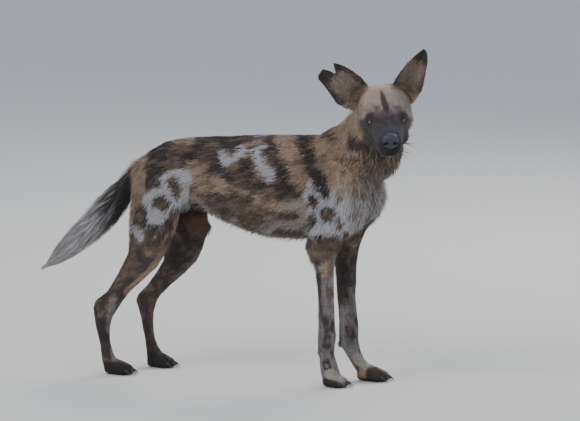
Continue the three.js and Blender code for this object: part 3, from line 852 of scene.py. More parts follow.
def paint_face(points, normals, colour):
    """Lay the colours of face and ears over those of the body."""
    spot = to_head(points)
    facing = normals @ HEAD_AXES
    x, y, z = spot.T
    ears, eyes = head_masks(points)
    grain = rough_noise(points, 14, 71)
    fine = rough_noise(points, 5, 73)
    on_head = ramp(x + (grain - 0.5) * 26, -16, 6) * (1 - ramp(np.abs(y), 84, 96))
    on_head = np.maximum(on_head * (z > -100) * (points[:, 2] > 600), ears)
    face = ground("sand", len(points))
    face = lay(face, COLOURS["tan"], ramp(-x + (grain - 0.5) * 40, -40, 0) * 0.8)
    face = lay(face, COLOURS["tan"], ramp(np.abs(y) + (grain - 0.5) * 18, 46, 62) * 0.75)
    face = lay(face, COLOURS["grey"], ramp(x + (grain - 0.5) * 30, 62, 104) * 0.55)
    throat = ramp(-z + (grain - 0.5) * 22, 56, 70) * (1 - ramp(x, 120, 150))
    face = lay(face, COLOURS["dark"], throat)
    bridge = ramp(x + (grain - 0.5) * 22, 98, 128)
    face = lay(face, linear(80, 69, 71), bridge * 0.9)
    mask = ramp(x + np.minimum(-z, 40) * 0.3 + (grain - 0.5) * 16, 100, 116)
    mask = mask * (1 - ramp(z, 0, 18) * (1 - ramp(x, 122, 150)))
    face = lay(face, COLOURS["mask"], mask * 0.92)
    under = ramp(-np.abs(x - 98) + 34 + (fine - 0.5) * 12, 6, 16)
    under = under * ramp(-z, 6, 14) * ramp(z + 50, 0, 14)
    face = lay(face, COLOURS["mask"], under * ramp(np.abs(y), 28, 38) * 0.9)
    jaw = ramp(x + (grain - 0.5) * 16, 74, 88) * ramp(-z, 40, 56) * (1 - ramp(-z, 84, 92))
    face = lay(face, COLOURS["mask"], jaw * 0.85)
    speckle = ramp(rough_noise(points, 7, 77), 0.5, 0.62)
    speckle = speckle * ramp(x, 96, 110) * (1 - ramp(x, 185, 200))
    face = lay(face, linear(84, 70, 74), speckle * 0.6)
    ring = 1 - ramp(eyes + (grain - 0.5) * 12 + (fine - 0.5) * 8, 18, 29)
    face = lay(face, COLOURS["black"], ring)
    middle = np.interp(x, STRIPE_ALONG, STRIPE_SIDE)
    wide = np.interp(x, STRIPE_ALONG, STRIPE_WIDE)
    stripe = 1 - ramp(np.abs(y - middle) + (fine - 0.5) * 6, wide - 1, wide + 2.5)
    stripe = stripe * ramp(z, 0, 10) * ramp(x + (fine - 0.5) * 10, 64, 72)
    stripe = stripe * (1 - ramp(x, 124, 132))
    face = lay(face, COLOURS["black"], stripe * 0.92)
    lips = np.min([
        near_path(spot, [(a, b * hand, c) for a, b, c in MOUTH]) for hand in (-1, 1)
    ], axis=0)
    face = lay(face, linear(22, 18, 20), 1 - ramp(lips, 2.5, 5.0))
    # A painted sheen: a lighter bluish highlight laid on the upper muzzle towards the nose.
    sheen = ramp(x, 150, 185) * ramp(z, -40, -16)
    face = lay(face, linear(46, 46, 60), sheen * 0.6)
    chin = ramp(x, 180, 196) * ramp(-z, 74, 79) * ramp(fine, 0.45, 0.6)
    face = lay(face, COLOURS["cream"], chin * 0.7)
    inside = ramp(facing[:, 0], 0.05, 0.4)
    for base, tip in EARS.values():
        along, off = along_ear(spot, base, tip)
        along = along / np.linalg.norm(tip - base)
        aside = unit(np.cross([1.0, 0, 0], unit(tip - base)))
        wide = np.abs((spot - base) @ aside) / np.interp(along, EAR_ALONG, EAR_WIDE)
        mine = ramp(along, 0.02, 0.16) * (1 - ramp(off, 62, 75))
        back = lay(ground("dark", len(points)), COLOURS["black"], ramp(grain, 0.4, 0.6))
        back = lay(back, COLOURS["brown"], (1 - ramp(along, 0.05, 0.35)) * 0.7)
        front = np.tile(linear(104, 84, 74), (len(points), 1))
        front = lay(front, COLOURS["brown"], ramp(fine, 0.5, 0.62) * 0.6)
        front = lay(front, COLOURS["dark"], ramp(wide + (fine - 0.5) * 0.35, 0.66, 0.86))
        front = lay(front, COLOURS["black"], ramp(along + (grain - 0.5) * 0.3, 0.66, 0.84) * 0.85)
        ear = back * (1 - inside[:, None]) + front * inside[:, None]
        face = lay(face, ear, mine)
    return lay(colour, face, on_head)


print("the painter knows the face")

# %% [markdown]
# ## Ground, legs, neck and tail
# The whole painter starts with a mottled ground, lays the strokes of each side and leg, adds fine
# lines of hair, and ends with neck, breast, tail, claws and face.

# %% Legs, neck and tail
def paint_legs(colour, points, normals, left, low, mottle, hairs):
    """The strokes of the legs outside and inside, fine lines over them, and the groin."""
    x, y, z = points.T
    seen = picture_place(points)
    mirrored = picture_place(points * [1, -1, 1])
    fore = ramp(x, 100, 130)
    inner = left * (1 - ramp(normals[:, 1], -0.2, 0.3))
    outer = left - inner
    colour = paint_strokes(colour, seen, points, NEAR_FORELEG, (1 - left) * low * fore, 0.5)
    colour = paint_strokes(colour, seen, points, FAR_FORELEG, inner * low * fore, 0.5)
    colour = paint_strokes(colour, mirrored, points, NEAR_FORELEG, outer * low * fore, 0.5)
    colour = paint_strokes(colour, seen, points, NEAR_HIND, (1 - left) * low * (1 - fore), 0.5)
    colour = paint_strokes(colour, seen, points, FAR_HIND, inner * low * (1 - fore), 0.5)
    colour = paint_strokes(colour, mirrored, points, NEAR_HIND, outer * low * (1 - fore), 0.5)
    legs = low * ramp(z, 60, 110)
    colour = lay(colour, COLOURS["dark"], ramp(hairs, 0.52, 0.64) * legs * 0.5)
    colour = lay(colour, COLOURS["dark"], ramp(mottle, 0.5, 0.6) * legs * 0.32)
    colour = lay(colour, COLOURS["tan"], (1 - ramp(hairs, 0.32, 0.42)) * legs * 0.3)
    groin = (1 - ramp(np.abs(y), 20, 46)) * (1 - ramp(z, 440, 500)) * ramp(z, 300, 340)
    colour = lay(colour, COLOURS["cream"], groin * 0.7 * ramp(x, -90, -40))
    colour = lay(colour, COLOURS["dark"], groin * 0.8 * (1 - ramp(x, -170, -130)))
    rust = 1 - ramp(np.linalg.norm((points - [-128, 0, 416]) / [60, 40, 46], axis=1), 0.8, 1.25)
    colour = lay(colour, COLOURS["rust"], rust * 0.9)
    return colour


def paint_neck(colour, points, mottle, streak):
    """Tan sides with paler locks, a dark ruff and a cream breast."""
    x, _, z = points.T
    on_neck = ramp(x + (mottle - 0.5) * 30, 262, 300) * ramp(z, 500, 560)
    colour = lay(colour, COLOURS["tan"], on_neck * ramp(streak, 0.25, 0.5))
    axis_x = np.interp(z, [500, 590, 666, 740, 790], [330, 352, 372, 392, 404])
    front = ramp(x - axis_x + (mottle - 0.5) * 26, -4, 16)
    ruff = front * ramp(z, 560, 600) * (1 - ramp(z, 724, 744))
    colour = lay(colour, COLOURS["dark"], ruff * 0.92)
    colour = lay(colour, COLOURS["tan"], ruff * ramp(streak, 0.52, 0.6) * 0.7)
    breast = ramp(x + (mottle - 0.5) * 30, 330, 352) * (1 - ramp(z + (mottle - 0.5) * 50, 560, 590))
    breast = breast * ramp(z, 400, 430)
    colour = lay(colour, COLOURS["cream"], breast * 0.9)
    colour = lay(colour, COLOURS["white"], breast * ramp(mottle, 0.5, 0.62) * 0.7)
    colour = lay(colour, COLOURS["dark"], breast * ramp(1 - mottle, 0.54, 0.66) * 0.6)
    locks = ramp(noise(points * [1, 1, 0.25], 9, 83), 0.6, 0.72)
    colour = lay(colour, COLOURS["sand"], on_neck * locks * 0.5)
    return colour


def paint_tail(colour, points, mottle, streak):
    """A streaked root, a black band and a pale brush."""
    x, y, z = points.T
    share = ramp(-x, 262, 300) * (np.abs(y) < 48)
    tail = np.interp(x, [-640, -352, -330, -306, -270], [1, 1, 0.6, 0.35, 0])
    hair = lay(ground("tan", len(points)), COLOURS["black"], ramp(streak + tail * 0.3, 0.55, 0.75))
    band = ramp(-x, 296, 322) * (1 - ramp(-x + (mottle - 0.5) * 40, 352, 384))
    hair = lay(hair, COLOURS["black"], band * 0.95)
    hair = lay(hair, COLOURS["white"], ramp(-x + (mottle - 0.5) * 40, 356, 386))
    clear = share * ramp(z, 200, 260) * ramp(-x + z * 0.55, 560, 600)
    clear = np.maximum(clear, (x < -400) * (z > 230))
    return lay(colour, hair, clear)


print("the painter knows legs, neck and tail")

# %% The whole animal
def paint(points, normals):
    """Colour in linear light for body places and their normals."""
    count = len(points)
    mottle = rough_noise(points * [0.6, 1, 1], 24, 11)
    streak = rough_noise(points * [0.3, 1, 1], 7, 13)
    colour = ground("brown", count)
    colour = lay(colour, COLOURS["tan"], ramp(mottle, 0.5, 0.62) * 0.8)
    colour = lay(colour, COLOURS["black"], 1 - ramp(mottle, 0.40, 0.5))
    colour = lay(colour, COLOURS["dark"], ramp(streak, 0.55, 0.66) * 0.5)
    x, y, z = points.T
    along = x * 0.93 + z * 0.37
    across = z * 0.93 - x * 0.37
    hairs = rough_noise(np.stack([along * 0.22, y, across], 1), 6, 19)
    seen = picture_place(points)
    mirrored = picture_place(points * [1, -1, 1])
    left = ramp(y + (rough_noise(points, 20, 17) - 0.5) * 14, -5, 5)
    low = 1 - ramp(z, 330, 372)
    trunk = 1 - low
    colour = paint_strokes(colour, seen, points, RIGHT_BODY, (1 - left) * trunk)
    colour = paint_strokes(colour, mirrored, points, LEFT_BODY, left * trunk)
    plain = (1 - ramp(colour[:, 2], 0.16, 0.26)) * trunk
    colour = lay(colour, COLOURS["black"], ramp(hairs, 0.53, 0.63) * plain * 0.62)
    colour = lay(colour, COLOURS["tan"], (1 - ramp(hairs, 0.34, 0.44)) * plain * 0.42)
    colour = lay(colour, COLOURS["brown"], ramp(mottle, 0.56, 0.66) * plain * 0.4)
    pale_belly = trunk * (1 - ramp(z, 430, 480)) * (1 - ramp(x, 210, 240)) * ramp(x, -190, -160)
    colour = lay(colour, COLOURS["dark"], ramp(hairs, 0.5, 0.62) * pale_belly * 0.5)
    colour = paint_legs(colour, points, normals, left, low, mottle, hairs)
    colour = paint_neck(colour, points, mottle, streak)
    colour = paint_tail(colour, points, mottle, streak)
    claws = 1 - ramp(z, 4, 16)
    colour = lay(colour, COLOURS["black"], claws * 0.85)
    colour = paint_face(points, normals, colour)
    grain = 0.86 + 0.28 * rough_noise(points * [0.4, 1, 0.8], 4, 91)
    return np.clip(colour * grain[:, None], 0, 1)


def colour_mesh(mesh, colour):
    """Write a colour for each vertex into the attribute that the finishes read."""
    rgba = np.ones((len(colour), 4), np.float32)
    rgba[:, :3] = colour
    layer = mesh.color_attributes.new("coat", "FLOAT_COLOR", "POINT")
    layer.data.foreach_set("color", rgba.ravel())


place, normal, _ = arrays(skin.data)
skin_colour = paint(body(place), normal)
colour_mesh(skin.data, skin_colour)
print("painted", len(skin_colour), "vertices")

# %% [markdown]
# ## The lie of the coat
# Hair grows in a direction: from the nose back over the skull, down the neck, back along the
# trunk, down the legs and out along ears and tail. Guides with a place, a direction and a reach say
# so, and every point takes a blend of the guides near it, laid flat on the skin.

# %% Lie of the coat
GUIDES = [
    ((-290, 60, 500), (-0.35, 0, -1), 70), ((-215, 80, 600), (-1, 0, -0.55), 70),
    ((-230, 85, 500), (-0.25, 0, -1), 70), ((-140, 80, 560), (-1, 0, -0.45), 70),
    ((-60, 80, 600), (-1, 0, -0.3), 80), ((-60, 75, 480), (-1, 0, -0.5), 80),
    ((60, 88, 600), (-1, 0, -0.3), 80), ((60, 80, 450), (-1, 0, -0.35), 80),
    ((160, 88, 600), (-0.9, 0, -0.5), 70), ((160, 80, 460), (-0.9, 0, -0.6), 70),
    ((240, 88, 620), (-0.6, 0, -0.8), 60), ((250, 88, 500), (-0.4, 0, -1), 60),
    ((250, 84, 400), (-0.2, 0, -1), 60), ((320, 60, 600), (-0.35, 0, -1), 60),
    ((380, 20, 540), (-0.1, 0, -1), 60), ((360, 30, 460), (-0.4, 0, -1), 60),
    ((320, 50, 680), (-0.45, 0, -0.9), 50), ((375, 40, 720), (-0.4, 0, -0.9), 50),
    ((0, 0, 400), (-1, 0, -0.1), 90), ((250, 0, 400), (-1, 0, -0.2), 80),
    ((-60, 0, 660), (-1, 0, 0), 80), ((120, 0, 670), (-1, 0, 0), 80),
    ((-220, 0, 640), (-1, 0, -0.2), 70), ((-300, 0, 580), (-0.8, 0, -0.9), 50),
    ((-360, 0, 490), (-0.6, 0, -0.75), 60), ((-480, 0, 360), (-0.75, 0, -0.65), 90),
    ((-250, 80, 380), (-0.2, 0, -1), 80), ((-300, 70, 280), (-0.35, 0, -1), 80),
    ((-350, 70, 180), (0.05, 0, -1), 70), ((-330, 70, 80), (0.15, 0, -1), 50),
    ((-310, 70, 20), (1, 0, -0.4), 30), ((-250, 70, 20), (1, 0, -0.4), 30),
    ((270, 60, 300), (0, 0, -1), 80), ((270, 60, 160), (0, 0, -1), 80),
    ((300, 60, 60), (0.3, 0, -1), 40), ((300, 60, 18), (1, 0, -0.4), 30),
    ((370, 60, 18), (1, 0, -0.4), 30), ((-128, 0, 416), (0.5, 0, -1), 40),
]
HEAD_GUIDES = [
    ((190, 0, 0), (-1, 0, 0.2), 30), ((150, 30, -40), (-1, 0.2, 0), 30),
    ((120, 0, 20), (-1, 0, 0.4), 30), ((80, 0, 60), (-1, 0, 0.3), 30),
    ((30, 0, 70), (-1, 0, -0.1), 40), ((90, 50, -30), (-1, 0.25, -0.2), 35),
    ((50, 66, 0), (-1, 0.1, -0.2), 40), ((0, 60, -20), (-0.8, 0, -0.7), 40),
    ((180, 0, -85), (-1, 0, 0), 30), ((100, 0, -80), (-1, 0, 0), 40),
    ((80, 45, 35), (-1, 0.2, 0.3), 26),
]


print(len(GUIDES) + len(HEAD_GUIDES), "guides, before mirroring")

# %% Blend the guides
def all_guides():
    """Place, way and reach of each guide on both sides, with those along the ears."""
    rows = []
    for place, way, reach in GUIDES:
        for hand in (1, -1) if place[1] else (1,):
            rows.append((np.array(place) * [1, hand, 1], way, reach))
    for place, way, reach in HEAD_GUIDES:
        for hand in (1, -1) if place[1] else (1,):
            spot, turned = np.array(place) * [1, hand, 1], np.array(way) * [1, hand, 1]
            rows.append((from_head(spot), HEAD_AXES @ turned, reach))
    for base, tip in EARS.values():
        way = HEAD_AXES @ unit(tip - base)
        for share in (0.35, 0.65, 1.0):
            rows.append((from_head(base + (tip - base) * share), way, 22))
    return rows


guide_rows = all_guides()


def lie_of(points, normals):
    """The way the hair lies at body places, flat on the skin."""
    total = np.zeros_like(points)
    for place, way, reach in guide_rows:
        weight = np.exp(-np.sum((points - place) ** 2, axis=1) / reach**2) + 1e-7
        total += unit(np.array(way, float)) * weight[:, None]
    total = unit(total)
    swirl = (noise(points, 45, 101) - 0.5)[:, None] * 0.5
    total = total + np.cross(normals, total) * swirl
    flat = total - normals * np.sum(total * normals, axis=1, keepdims=True)
    weak = np.linalg.norm(flat, axis=1) < 0.15
    flat[weak] += np.cross(normals[weak], [0.3, 1.0, 0.2]) * 0.3
    return unit(flat)


print(len(guide_rows), "guides")

# %% [markdown]
# ## Tufts as mesh
# Real hairs are too many to model, but they clump, and a clump is a flat, bent spike with three
# sides and a closed root. All tufts of a piece are made at once from arrays. Their map lays each
# one as a small patch at its root's place on an unwrap of the skin, one chart for each side that
# the skin faces, so a pattern baked to the map keeps its place on the body.

# %% Map of the tufts
PATCH = 0.003
SHELF_SLACK = 1.12
# Heights of the border between trunk and limbs, and of the head's lowest hair.
LIMB_LINE = 372
HEAD_LOW = 640


def chart_places(points, normals):
    """A place from 0 to 1 for each root on charts of the skin's own shape."""
    axis = np.argmax(np.abs(normals), axis=1)
    sign = normals[np.arange(len(points)), axis] > 0
    part = (points[:, 1] > 0) * 1 + (points[:, 2] < LIMB_LINE) * 2 + (points[:, 0] > 0) * 4
    part += (to_head(points)[:, 0] > -20) * (points[:, 2] > HEAD_LOW) * 8
    chart = part * 6 + axis * 2 + sign
    from_side = np.where((axis == 1)[:, None], points[:, [0, 2]], points[:, [0, 1]])
    flat = np.where((axis == 0)[:, None], points[:, [1, 2]], from_side)
    boxes = []
    for c in np.unique(chart):
        mine = flat[chart == c]
        boxes.append((c, mine.min(0), np.ptp(mine, axis=0) + 4))
    boxes.sort(key=lambda b: -b[2][1])
    total = sum(size[0] * size[1] for _, _, size in boxes)
    width = max(math.sqrt(total) * SHELF_SLACK, max(size[0] for _, _, size in boxes))
    places = np.zeros_like(flat)
    left, floor_line, shelf = 0.0, 0.0, 0.0
    for c, low, size in boxes:
        if left + size[0] > width:
            left, floor_line, shelf = 0.0, floor_line + shelf, 0.0
        mine = chart == c
        places[mine] = flat[mine] - low + [left + 2, floor_line + 2]
        left += size[0]
        shelf = max(shelf, size[1])
    return 0.002 + places / max(width, floor_line + shelf) * 0.992


print("charts of six directions")

# %% Spikes
# Share of a spike's width at its rings from the root, for bent and for straight ones.
BENT_PROFILE = [0.75, 1.0, 0.85, 0.62, 0.4, 0.3]
STRAIGHT_PROFILE = [0.9, 0.72]
FLOOR_GAP = 0.2


def spikes(name, paths, widths, thick, ups, colours, shade=(0.72, 1.0, 1.1)):
    """Closed three-sided spikes. Paths are in body millimetres, as spike, step and axis."""
    count, steps = len(paths), paths.shape[1]
    rings = steps - 1
    way = unit(np.gradient(paths, axis=1))
    aside = unit(np.cross(ups[:, None, :], way))
    over = np.cross(way, aside)
    profile = np.array((STRAIGHT_PROFILE if rings < 3 else BENT_PROFILE)[:rings])
    half = widths[:, None, None] * 0.5 * profile[None, :, None]
    deep = half * thick
    ring = paths[:, :rings]
    corner_a = ring - aside[:, :rings] * half - over[:, :rings] * deep * 0.4
    corner_b = ring + aside[:, :rings] * half - over[:, :rings] * deep * 0.4
    corner_c = ring + over[:, :rings] * deep
    body_verts = np.stack([corner_a, corner_b, corner_c], 2).reshape(count, rings * 3, 3)
    verts = np.concatenate([body_verts, paths[:, -1:]], 1)
    one = rings * 3 + 1
    faces = [(0, 2, 1)]
    for r in range(rings - 1):
        for s in range(3):
            a, b = r * 3 + s, r * 3 + (s + 1) % 3
            faces += [(a, b, b + 3), (a, b + 3, a + 3)]
    last = (rings - 1) * 3
    faces += [(last, last + 1, one - 1), (last + 1, last + 2, one - 1), (last + 2, last, one - 1)]
    faces = np.array(faces)
    corners = (faces[None] + (np.arange(count) * one)[:, None, None]).reshape(-1).astype(np.int32)
    mesh = bpy.data.meshes.new(name)
    mesh.vertices.add(count * one)
    verts[:, :, 2] = np.maximum(verts[:, :, 2], FLOOR_GAP)
    mesh.vertices.foreach_set("co", world(verts.reshape(-1, 3)).astype(np.float32).ravel())
    mesh.loops.add(len(corners))
    mesh.loops.foreach_set("vertex_index", corners)
    mesh.polygons.add(len(corners) // 3)
    mesh.polygons.foreach_set("loop_start", np.arange(0, len(corners), 3, dtype=np.int32))
    mesh.update(calc_edges=True)
    share = np.append(np.repeat(np.arange(rings) / rings, 3), 1.0)
    tone = np.interp(share, [0, 0.5, 1], shade)
    shaded = np.clip(colours[:, None, :] * tone[None, :, None], 0, 1)
    colour_mesh(mesh, shaded.reshape(-1, 3))
    patch_x = np.append(np.tile([0.05, 0.95, 0.5], rings), 0.5)
    patch_y = share + np.append(np.tile([0.0, 0.0, 0.12], rings), 0.0)
    patch = np.stack([patch_x, patch_y], 1) - 0.5
    uv = chart_places(paths[:, 0], ups)[:, None, :] + patch[None] * PATCH
    uv = np.clip(uv.reshape(-1, 2), 0, 1)[corners]
    mesh.uv_layers.new(name="OFBake")
    mesh.uv_layers["OFBake"].data.foreach_set("uv", uv.astype(np.float32).ravel())
    piece = add_object(name, mesh)
    mesh.shade_smooth()
    return piece


print("a bent tuft has 10 faces, a straight one 4")

# %% [markdown]
# ## Where the tufts stand
# Roots are spread over the skin by area, and closer where the coat is fine. Length, width and lift
# change over the body: flat and short on trunk and legs, tiny on the face, longer on the neck,
# the breast, the belly's edge and the back of the thighs.

# %% Coat measures
def coat_measures(points, normals):
    """Length, width, lift in degrees and density of the tufts at body places."""
    spot = to_head(points)
    ears, eyes = head_masks(points)
    x, y, z = points.T
    on_head = ramp(spot[:, 0], -30, 10) * (z > 620)
    leg = 1 - ramp(z, 300, 440)
    length = 15.5 - 8.5 * leg
    width = 2.2 - 0.8 * leg
    lift = 11 - 2.0 * leg
    density = 1 + 0.9 * leg
    neck = ramp(x, 280, 330) * ramp(z, 560, 620)
    length, lift = length + 6 * neck, lift + 6 * neck
    breast = ramp(x, 320, 350) * (1 - ramp(z, 600, 640)) * ramp(z, 420, 460)
    length, lift = length + 9 * breast, lift + 12 * breast
    belly = ramp(-normals[:, 2], 0.45, 0.8) * ramp(z, 380, 400)
    belly = belly * ramp(x, -170, -140) * (1 - ramp(x, 200, 260))
    length, lift = length + 5 * belly, lift + 14 * belly
    breech = (1 - ramp(x, -300, -262)) * ramp(-normals[:, 0], 0.3, 0.8) * ramp(z, 260, 420)
    length, lift = length + 7 * breech, lift + 8 * breech
    tail = ramp(-x, 262, 300) * (np.abs(y) < 46) * ramp(-x + z * 0.55, 560, 600)
    length, lift = length + 12 * tail, lift + 5 * tail
    paw = 1 - ramp(z, 40, 90)
    length, width = length * (1 - paw) + 5.0 * paw, width * (1 - paw) + 1.5 * paw
    density = density + 0.8 * paw
    face = on_head * ramp(spot[:, 0], 20, 70)
    face_length = 10 - 5.5 * ramp(spot[:, 0], 50, 120) - 1.2 * ramp(spot[:, 0], 150, 190)
    length = length * (1 - on_head) + on_head * face_length
    width = width * (1 - on_head) + on_head * (1.9 - 0.9 * ramp(spot[:, 0], 40, 120))
    lift = lift * (1 - on_head) + on_head * (13 - 3 * face)
    density = density * (1 - on_head) + on_head * (2.0 + 3.6 * face)
    near_eye = 1 - ramp(eyes, 16, 30)
    length = length * (1 - 0.55 * near_eye)
    length, width = length * (1 - ears) + 5.0 * ears, width * (1 - ears) + 1.1 * ears
    density, lift = density * (1 - ears) + 3.2 * ears, lift * (1 - ears) + 5 * ears
    bare_nose = 0.9 * ramp(spot[:, 0], 200, 206) * (spot[:, 2] > -62)
    density = density * (eyes > 15.2) * (z > 2.5) * (1 - bare_nose)
    return length, width, lift, density


print("coat measures ready")

# %% Roots and growth
def scatter(count, keep, seed):
    """Roots over the skin: body places, normals and the random generator."""
    random = np.random.default_rng(seed)
    place, normal, tris = arrays(skin.data)
    mm = body(place)
    corner = mm[tris]
    sides = np.cross(corner[:, 1] - corner[:, 0], corner[:, 2] - corner[:, 0])
    area = 0.5 * np.linalg.norm(sides, axis=1)
    density = coat_measures(mm, normal)[3] * keep(mm, normal)
    weight = area * density[tris].mean(1)
    total = np.cumsum(weight)
    pick = np.searchsorted(total, (np.arange(count) + random.random(count)) / count * total[-1])
    pick = np.minimum(pick, len(tris) - 1)
    a, b = random.random(count), random.random(count)
    over = a + b > 1
    a, b = np.where(over, 1 - a, a), np.where(over, 1 - b, b)
    share = np.stack([1 - a - b, a, b], 1)[:, :, None]
    roots = (corner[pick] * share).sum(1)
    normals = unit((normal[tris[pick]] * share).sum(1))
    return roots, normals, random


def grow(name, count, keep, seed, bent):
    """A piece of short coat with count tufts where keep allows them."""
    roots, normals, random = scatter(count, keep, seed)
    way = lie_of(roots, normals)
    length, width, lift, _ = coat_measures(roots, normals)
    length = length * random.uniform(0.7, 1.25, count)
    lift = np.radians(lift * random.uniform(0.5, 1.6, count))
    side = unit(np.cross(normals, way)) * random.normal(0, 0.16, count)[:, None]
    way = unit(way + side)
    stray = way * random.normal(0, 0.34, count)[:, None]
    stray = stray + np.cross(normals, way) * random.normal(0, 0.1, count)[:, None]
    tones = random.uniform(0.8, 1.2, count)[:, None]
    colours = paint(roots + stray * length[:, None], normals) * tones
    rise = (np.sin(lift) * length)[:, None]
    start = roots - normals * np.minimum(1.2, length * 0.12)[:, None]
    middle = roots + way * (length * 0.5)[:, None] + normals * rise * 0.62
    middle = middle + side * (length * 0.15)[:, None]
    end = roots + way * length[:, None] + normals * rise * 0.92 - side * (length * 0.2)[:, None]
    paths = np.stack([start, middle, end] if bent else [start, end], 1)
    return spikes(name, paths, width, 0.34, normals, colours)


print("ready to grow")

# %% [markdown]
# The short coat is grown in seven pieces, so that none gets too heavy. Head and legs take straight
# tufts, the trunk takes bent ones.

# %% Grow the short coat
BACK_OF_HEAD = -12
MID_TRUNK = 30


def region(head, low, front, left):
    """A test for one part of the animal. None means either."""
    def keep(points, normals):
        spot = to_head(points)
        on_head = (spot[:, 0] > BACK_OF_HEAD) & (points[:, 2] > HEAD_LOW)
        fits = on_head == head
        if low is not None:
            fits &= (points[:, 2] < LIMB_LINE) == low
        if front is not None:
            fits &= (points[:, 0] > MID_TRUNK) == front
        if left is not None:
            fits &= (points[:, 1] > 0) == left
        return fits * 1.0
    return keep


COATS = [
    ("coat_head", 46000, region(True, None, None, None), False),
    ("coat_right_front", 17500, region(False, False, True, False), True),
    ("coat_right_back", 17500, region(False, False, False, False), True),
    ("coat_left_front", 15000, region(False, False, True, True), True),
    ("coat_left_back", 15000, region(False, False, False, True), True),
    ("coat_forelegs", 34000, region(False, True, True, None), False),
    ("coat_hind_legs", 42000, region(False, True, False, None), False),
]
coats = []
for number, (name, count, keep, bent) in enumerate(COATS):
    coats.append(grow(name, count, keep, 300 + number, bent))
print(sum(len(c.data.polygons) for c in coats), "faces of short coat")

# %% [markdown]
# ## Long hair
# The tail's brush and the ruff under the jaw have locks up to a hand's width long. Each lock starts
# on the core and bends out to the outline that the solids give, so the brush fills its form.

# %% Locks along a form
BEYOND = 110
LOCK_STEPS = 4


def locks_along(name, stations, core, count, start, span, angles, fan, width, seed, tint, out):
    """Locks from a form's core to shares out of its section, running span along it."""
    random = np.random.default_rng(seed)
    t0 = random.uniform(*start, count)
    angle = random.uniform(*angles, count)
    drift = random.normal(0, fan, count)
    spread = random.uniform(*out, count)
    reach = random.uniform(0.65, 1.2, count) * span
    wave = random.uniform(-0.05, 0.05, count)
    points = []
    for k in range(LOCK_STEPS + 1):
        f = k / LOCK_STEPS
        t = t0 + reach * f
        beyond = np.clip(np.maximum(t - 1, -t), 0, None)
        root_share = np.interp(np.clip(t0, 0, 1), np.linspace(0, 1, len(core)), core) * 0.96
        share = root_share + (spread - root_share) * f**0.75 + wave * math.sin(math.pi * 2 * f)
        points.append(form_point(stations, np.clip(t, 0, 1), angle + drift * f, share))
        if np.any(beyond > 0):
            way = form_frame(stations, np.clip(t, 0, 1))[2] * np.sign(span)
            points[-1] += way * (beyond * BEYOND)[:, None]
    paths = np.stack(points, 1)
    centre = form_frame(stations, np.clip(t0, 0, 1))[0]
    ups = unit(paths[:, 0] - centre)
    colours = tint(paths[:, 1], ups, random) * random.uniform(0.78, 1.2, count)[:, None]
    widths = random.uniform(0.6, 1.2, count) * width
    return spikes(name, paths, widths, 0.4, ups, colours, (0.7, 0.95, 1.12))


print("locks can follow a form")

# %% Brush and ruff
def tail_tint(points, ups, random):
    colour = paint(points, ups)
    count = len(points)
    pale = ground("white", count)
    pale = lay(pale, COLOURS["cream"], random.uniform(0, 0.5, count))
    pale = lay(pale, COLOURS["grey"], (random.random(count) > 0.8) * 0.8)
    border = ramp(-points[:, 0] + random.normal(0, 14, count), 352, 384)
    root = 1 - ramp(-points[:, 0], 300, 326)
    dark = ground("black", count)
    return lay(lay(dark, colour, root), pale, border)


def ruff_tint(points, ups, random):
    count = len(points)
    colour = ground("dark", count)
    colour = lay(colour, COLOURS["brown"], ramp(noise(points, 20, 121), 0.4, 0.7) * 0.8)
    colour = lay(colour, COLOURS["tan"], (random.random(count) > 0.72) * 0.7)
    breast = 1 - ramp(points[:, 2] + random.normal(0, 10, count), 590, 622)
    colour = lay(colour, COLOURS["cream"], breast)
    side = ramp(np.abs(points[:, 1] + 20), 52, 66)
    return lay(colour, COLOURS["tan"], side * 0.6)


tail_locks = locks_along(
    "tail_brush_hair", TAIL, TAIL_CORE, 6900, (0.26, 0.95), 0.2, (0, 2 * math.pi), 0.5, 2.9,
    401, tail_tint, out=(0.7, 1.22)
)
ruff_core = np.full(len(NECK), THROAT_CORE)
ruff_locks = locks_along(
    "ruff_hair", NECK, ruff_core, 6000, (0.1, 0.97), -0.26, (-math.pi * 0.93, -math.pi * 0.07),
    0.28, 3.2, 402, ruff_tint, out=(0.86, 1.02)
)
print(len(tail_locks.data.polygons), len(ruff_locks.data.polygons), "faces of long hair")

# %% [markdown]
# ## Fringes
# Single wisps stand in the ears, behind the cheeks, along the belly's edge and the elbows, and down
# the back of the thighs.

# %% Hair of the ears
def wisps(name, roots, normals, ways, length, width, lift, colours, seed, steps=3):
    """Long thin spikes from the roots along ways, bent sideways and lifted by degrees."""
    random = np.random.default_rng(seed)
    count = len(roots)
    long = length * random.uniform(0.6, 1.25, count)
    bend = random.normal(0, 0.22, count)[:, None]
    aside = unit(np.cross(normals, ways))
    points = []
    for k in range(steps + 1):
        f = k / steps
        rise = math.sin(math.radians(lift)) * (f - 0.35 * f * f)
        step = ways * f + normals * rise + aside * bend * f * f
        points.append(roots - normals * 0.8 + step * long[:, None])
    paths = np.stack(points, 1)
    return spikes(name, paths, random.uniform(0.7, 1.2, count) * width, 0.4, normals, colours)


def ear_middle(spot):
    """1 along the middle of each ear, 0 towards its edges."""
    off = np.min([near_segment(spot, base, tip) for base, tip in EARS.values()], axis=0)
    return 1 - ramp(off, 16, 34)


def on_ear_inside(points, normals):
    ears, _ = head_masks(points)
    facing = normals @ HEAD_AXES
    spot = to_head(points)
    far = np.zeros(len(points))
    for base, tip in EARS.values():
        along, off = along_ear(spot, base, tip)
        far = np.maximum(far, along / np.linalg.norm(tip - base) * (off < 70))
    middle = 0.04 + ear_middle(spot)
    return (facing[:, 0] > 0.35) * (ears > 0.3) * (1 - ramp(far, 0.5, 0.7)) * middle


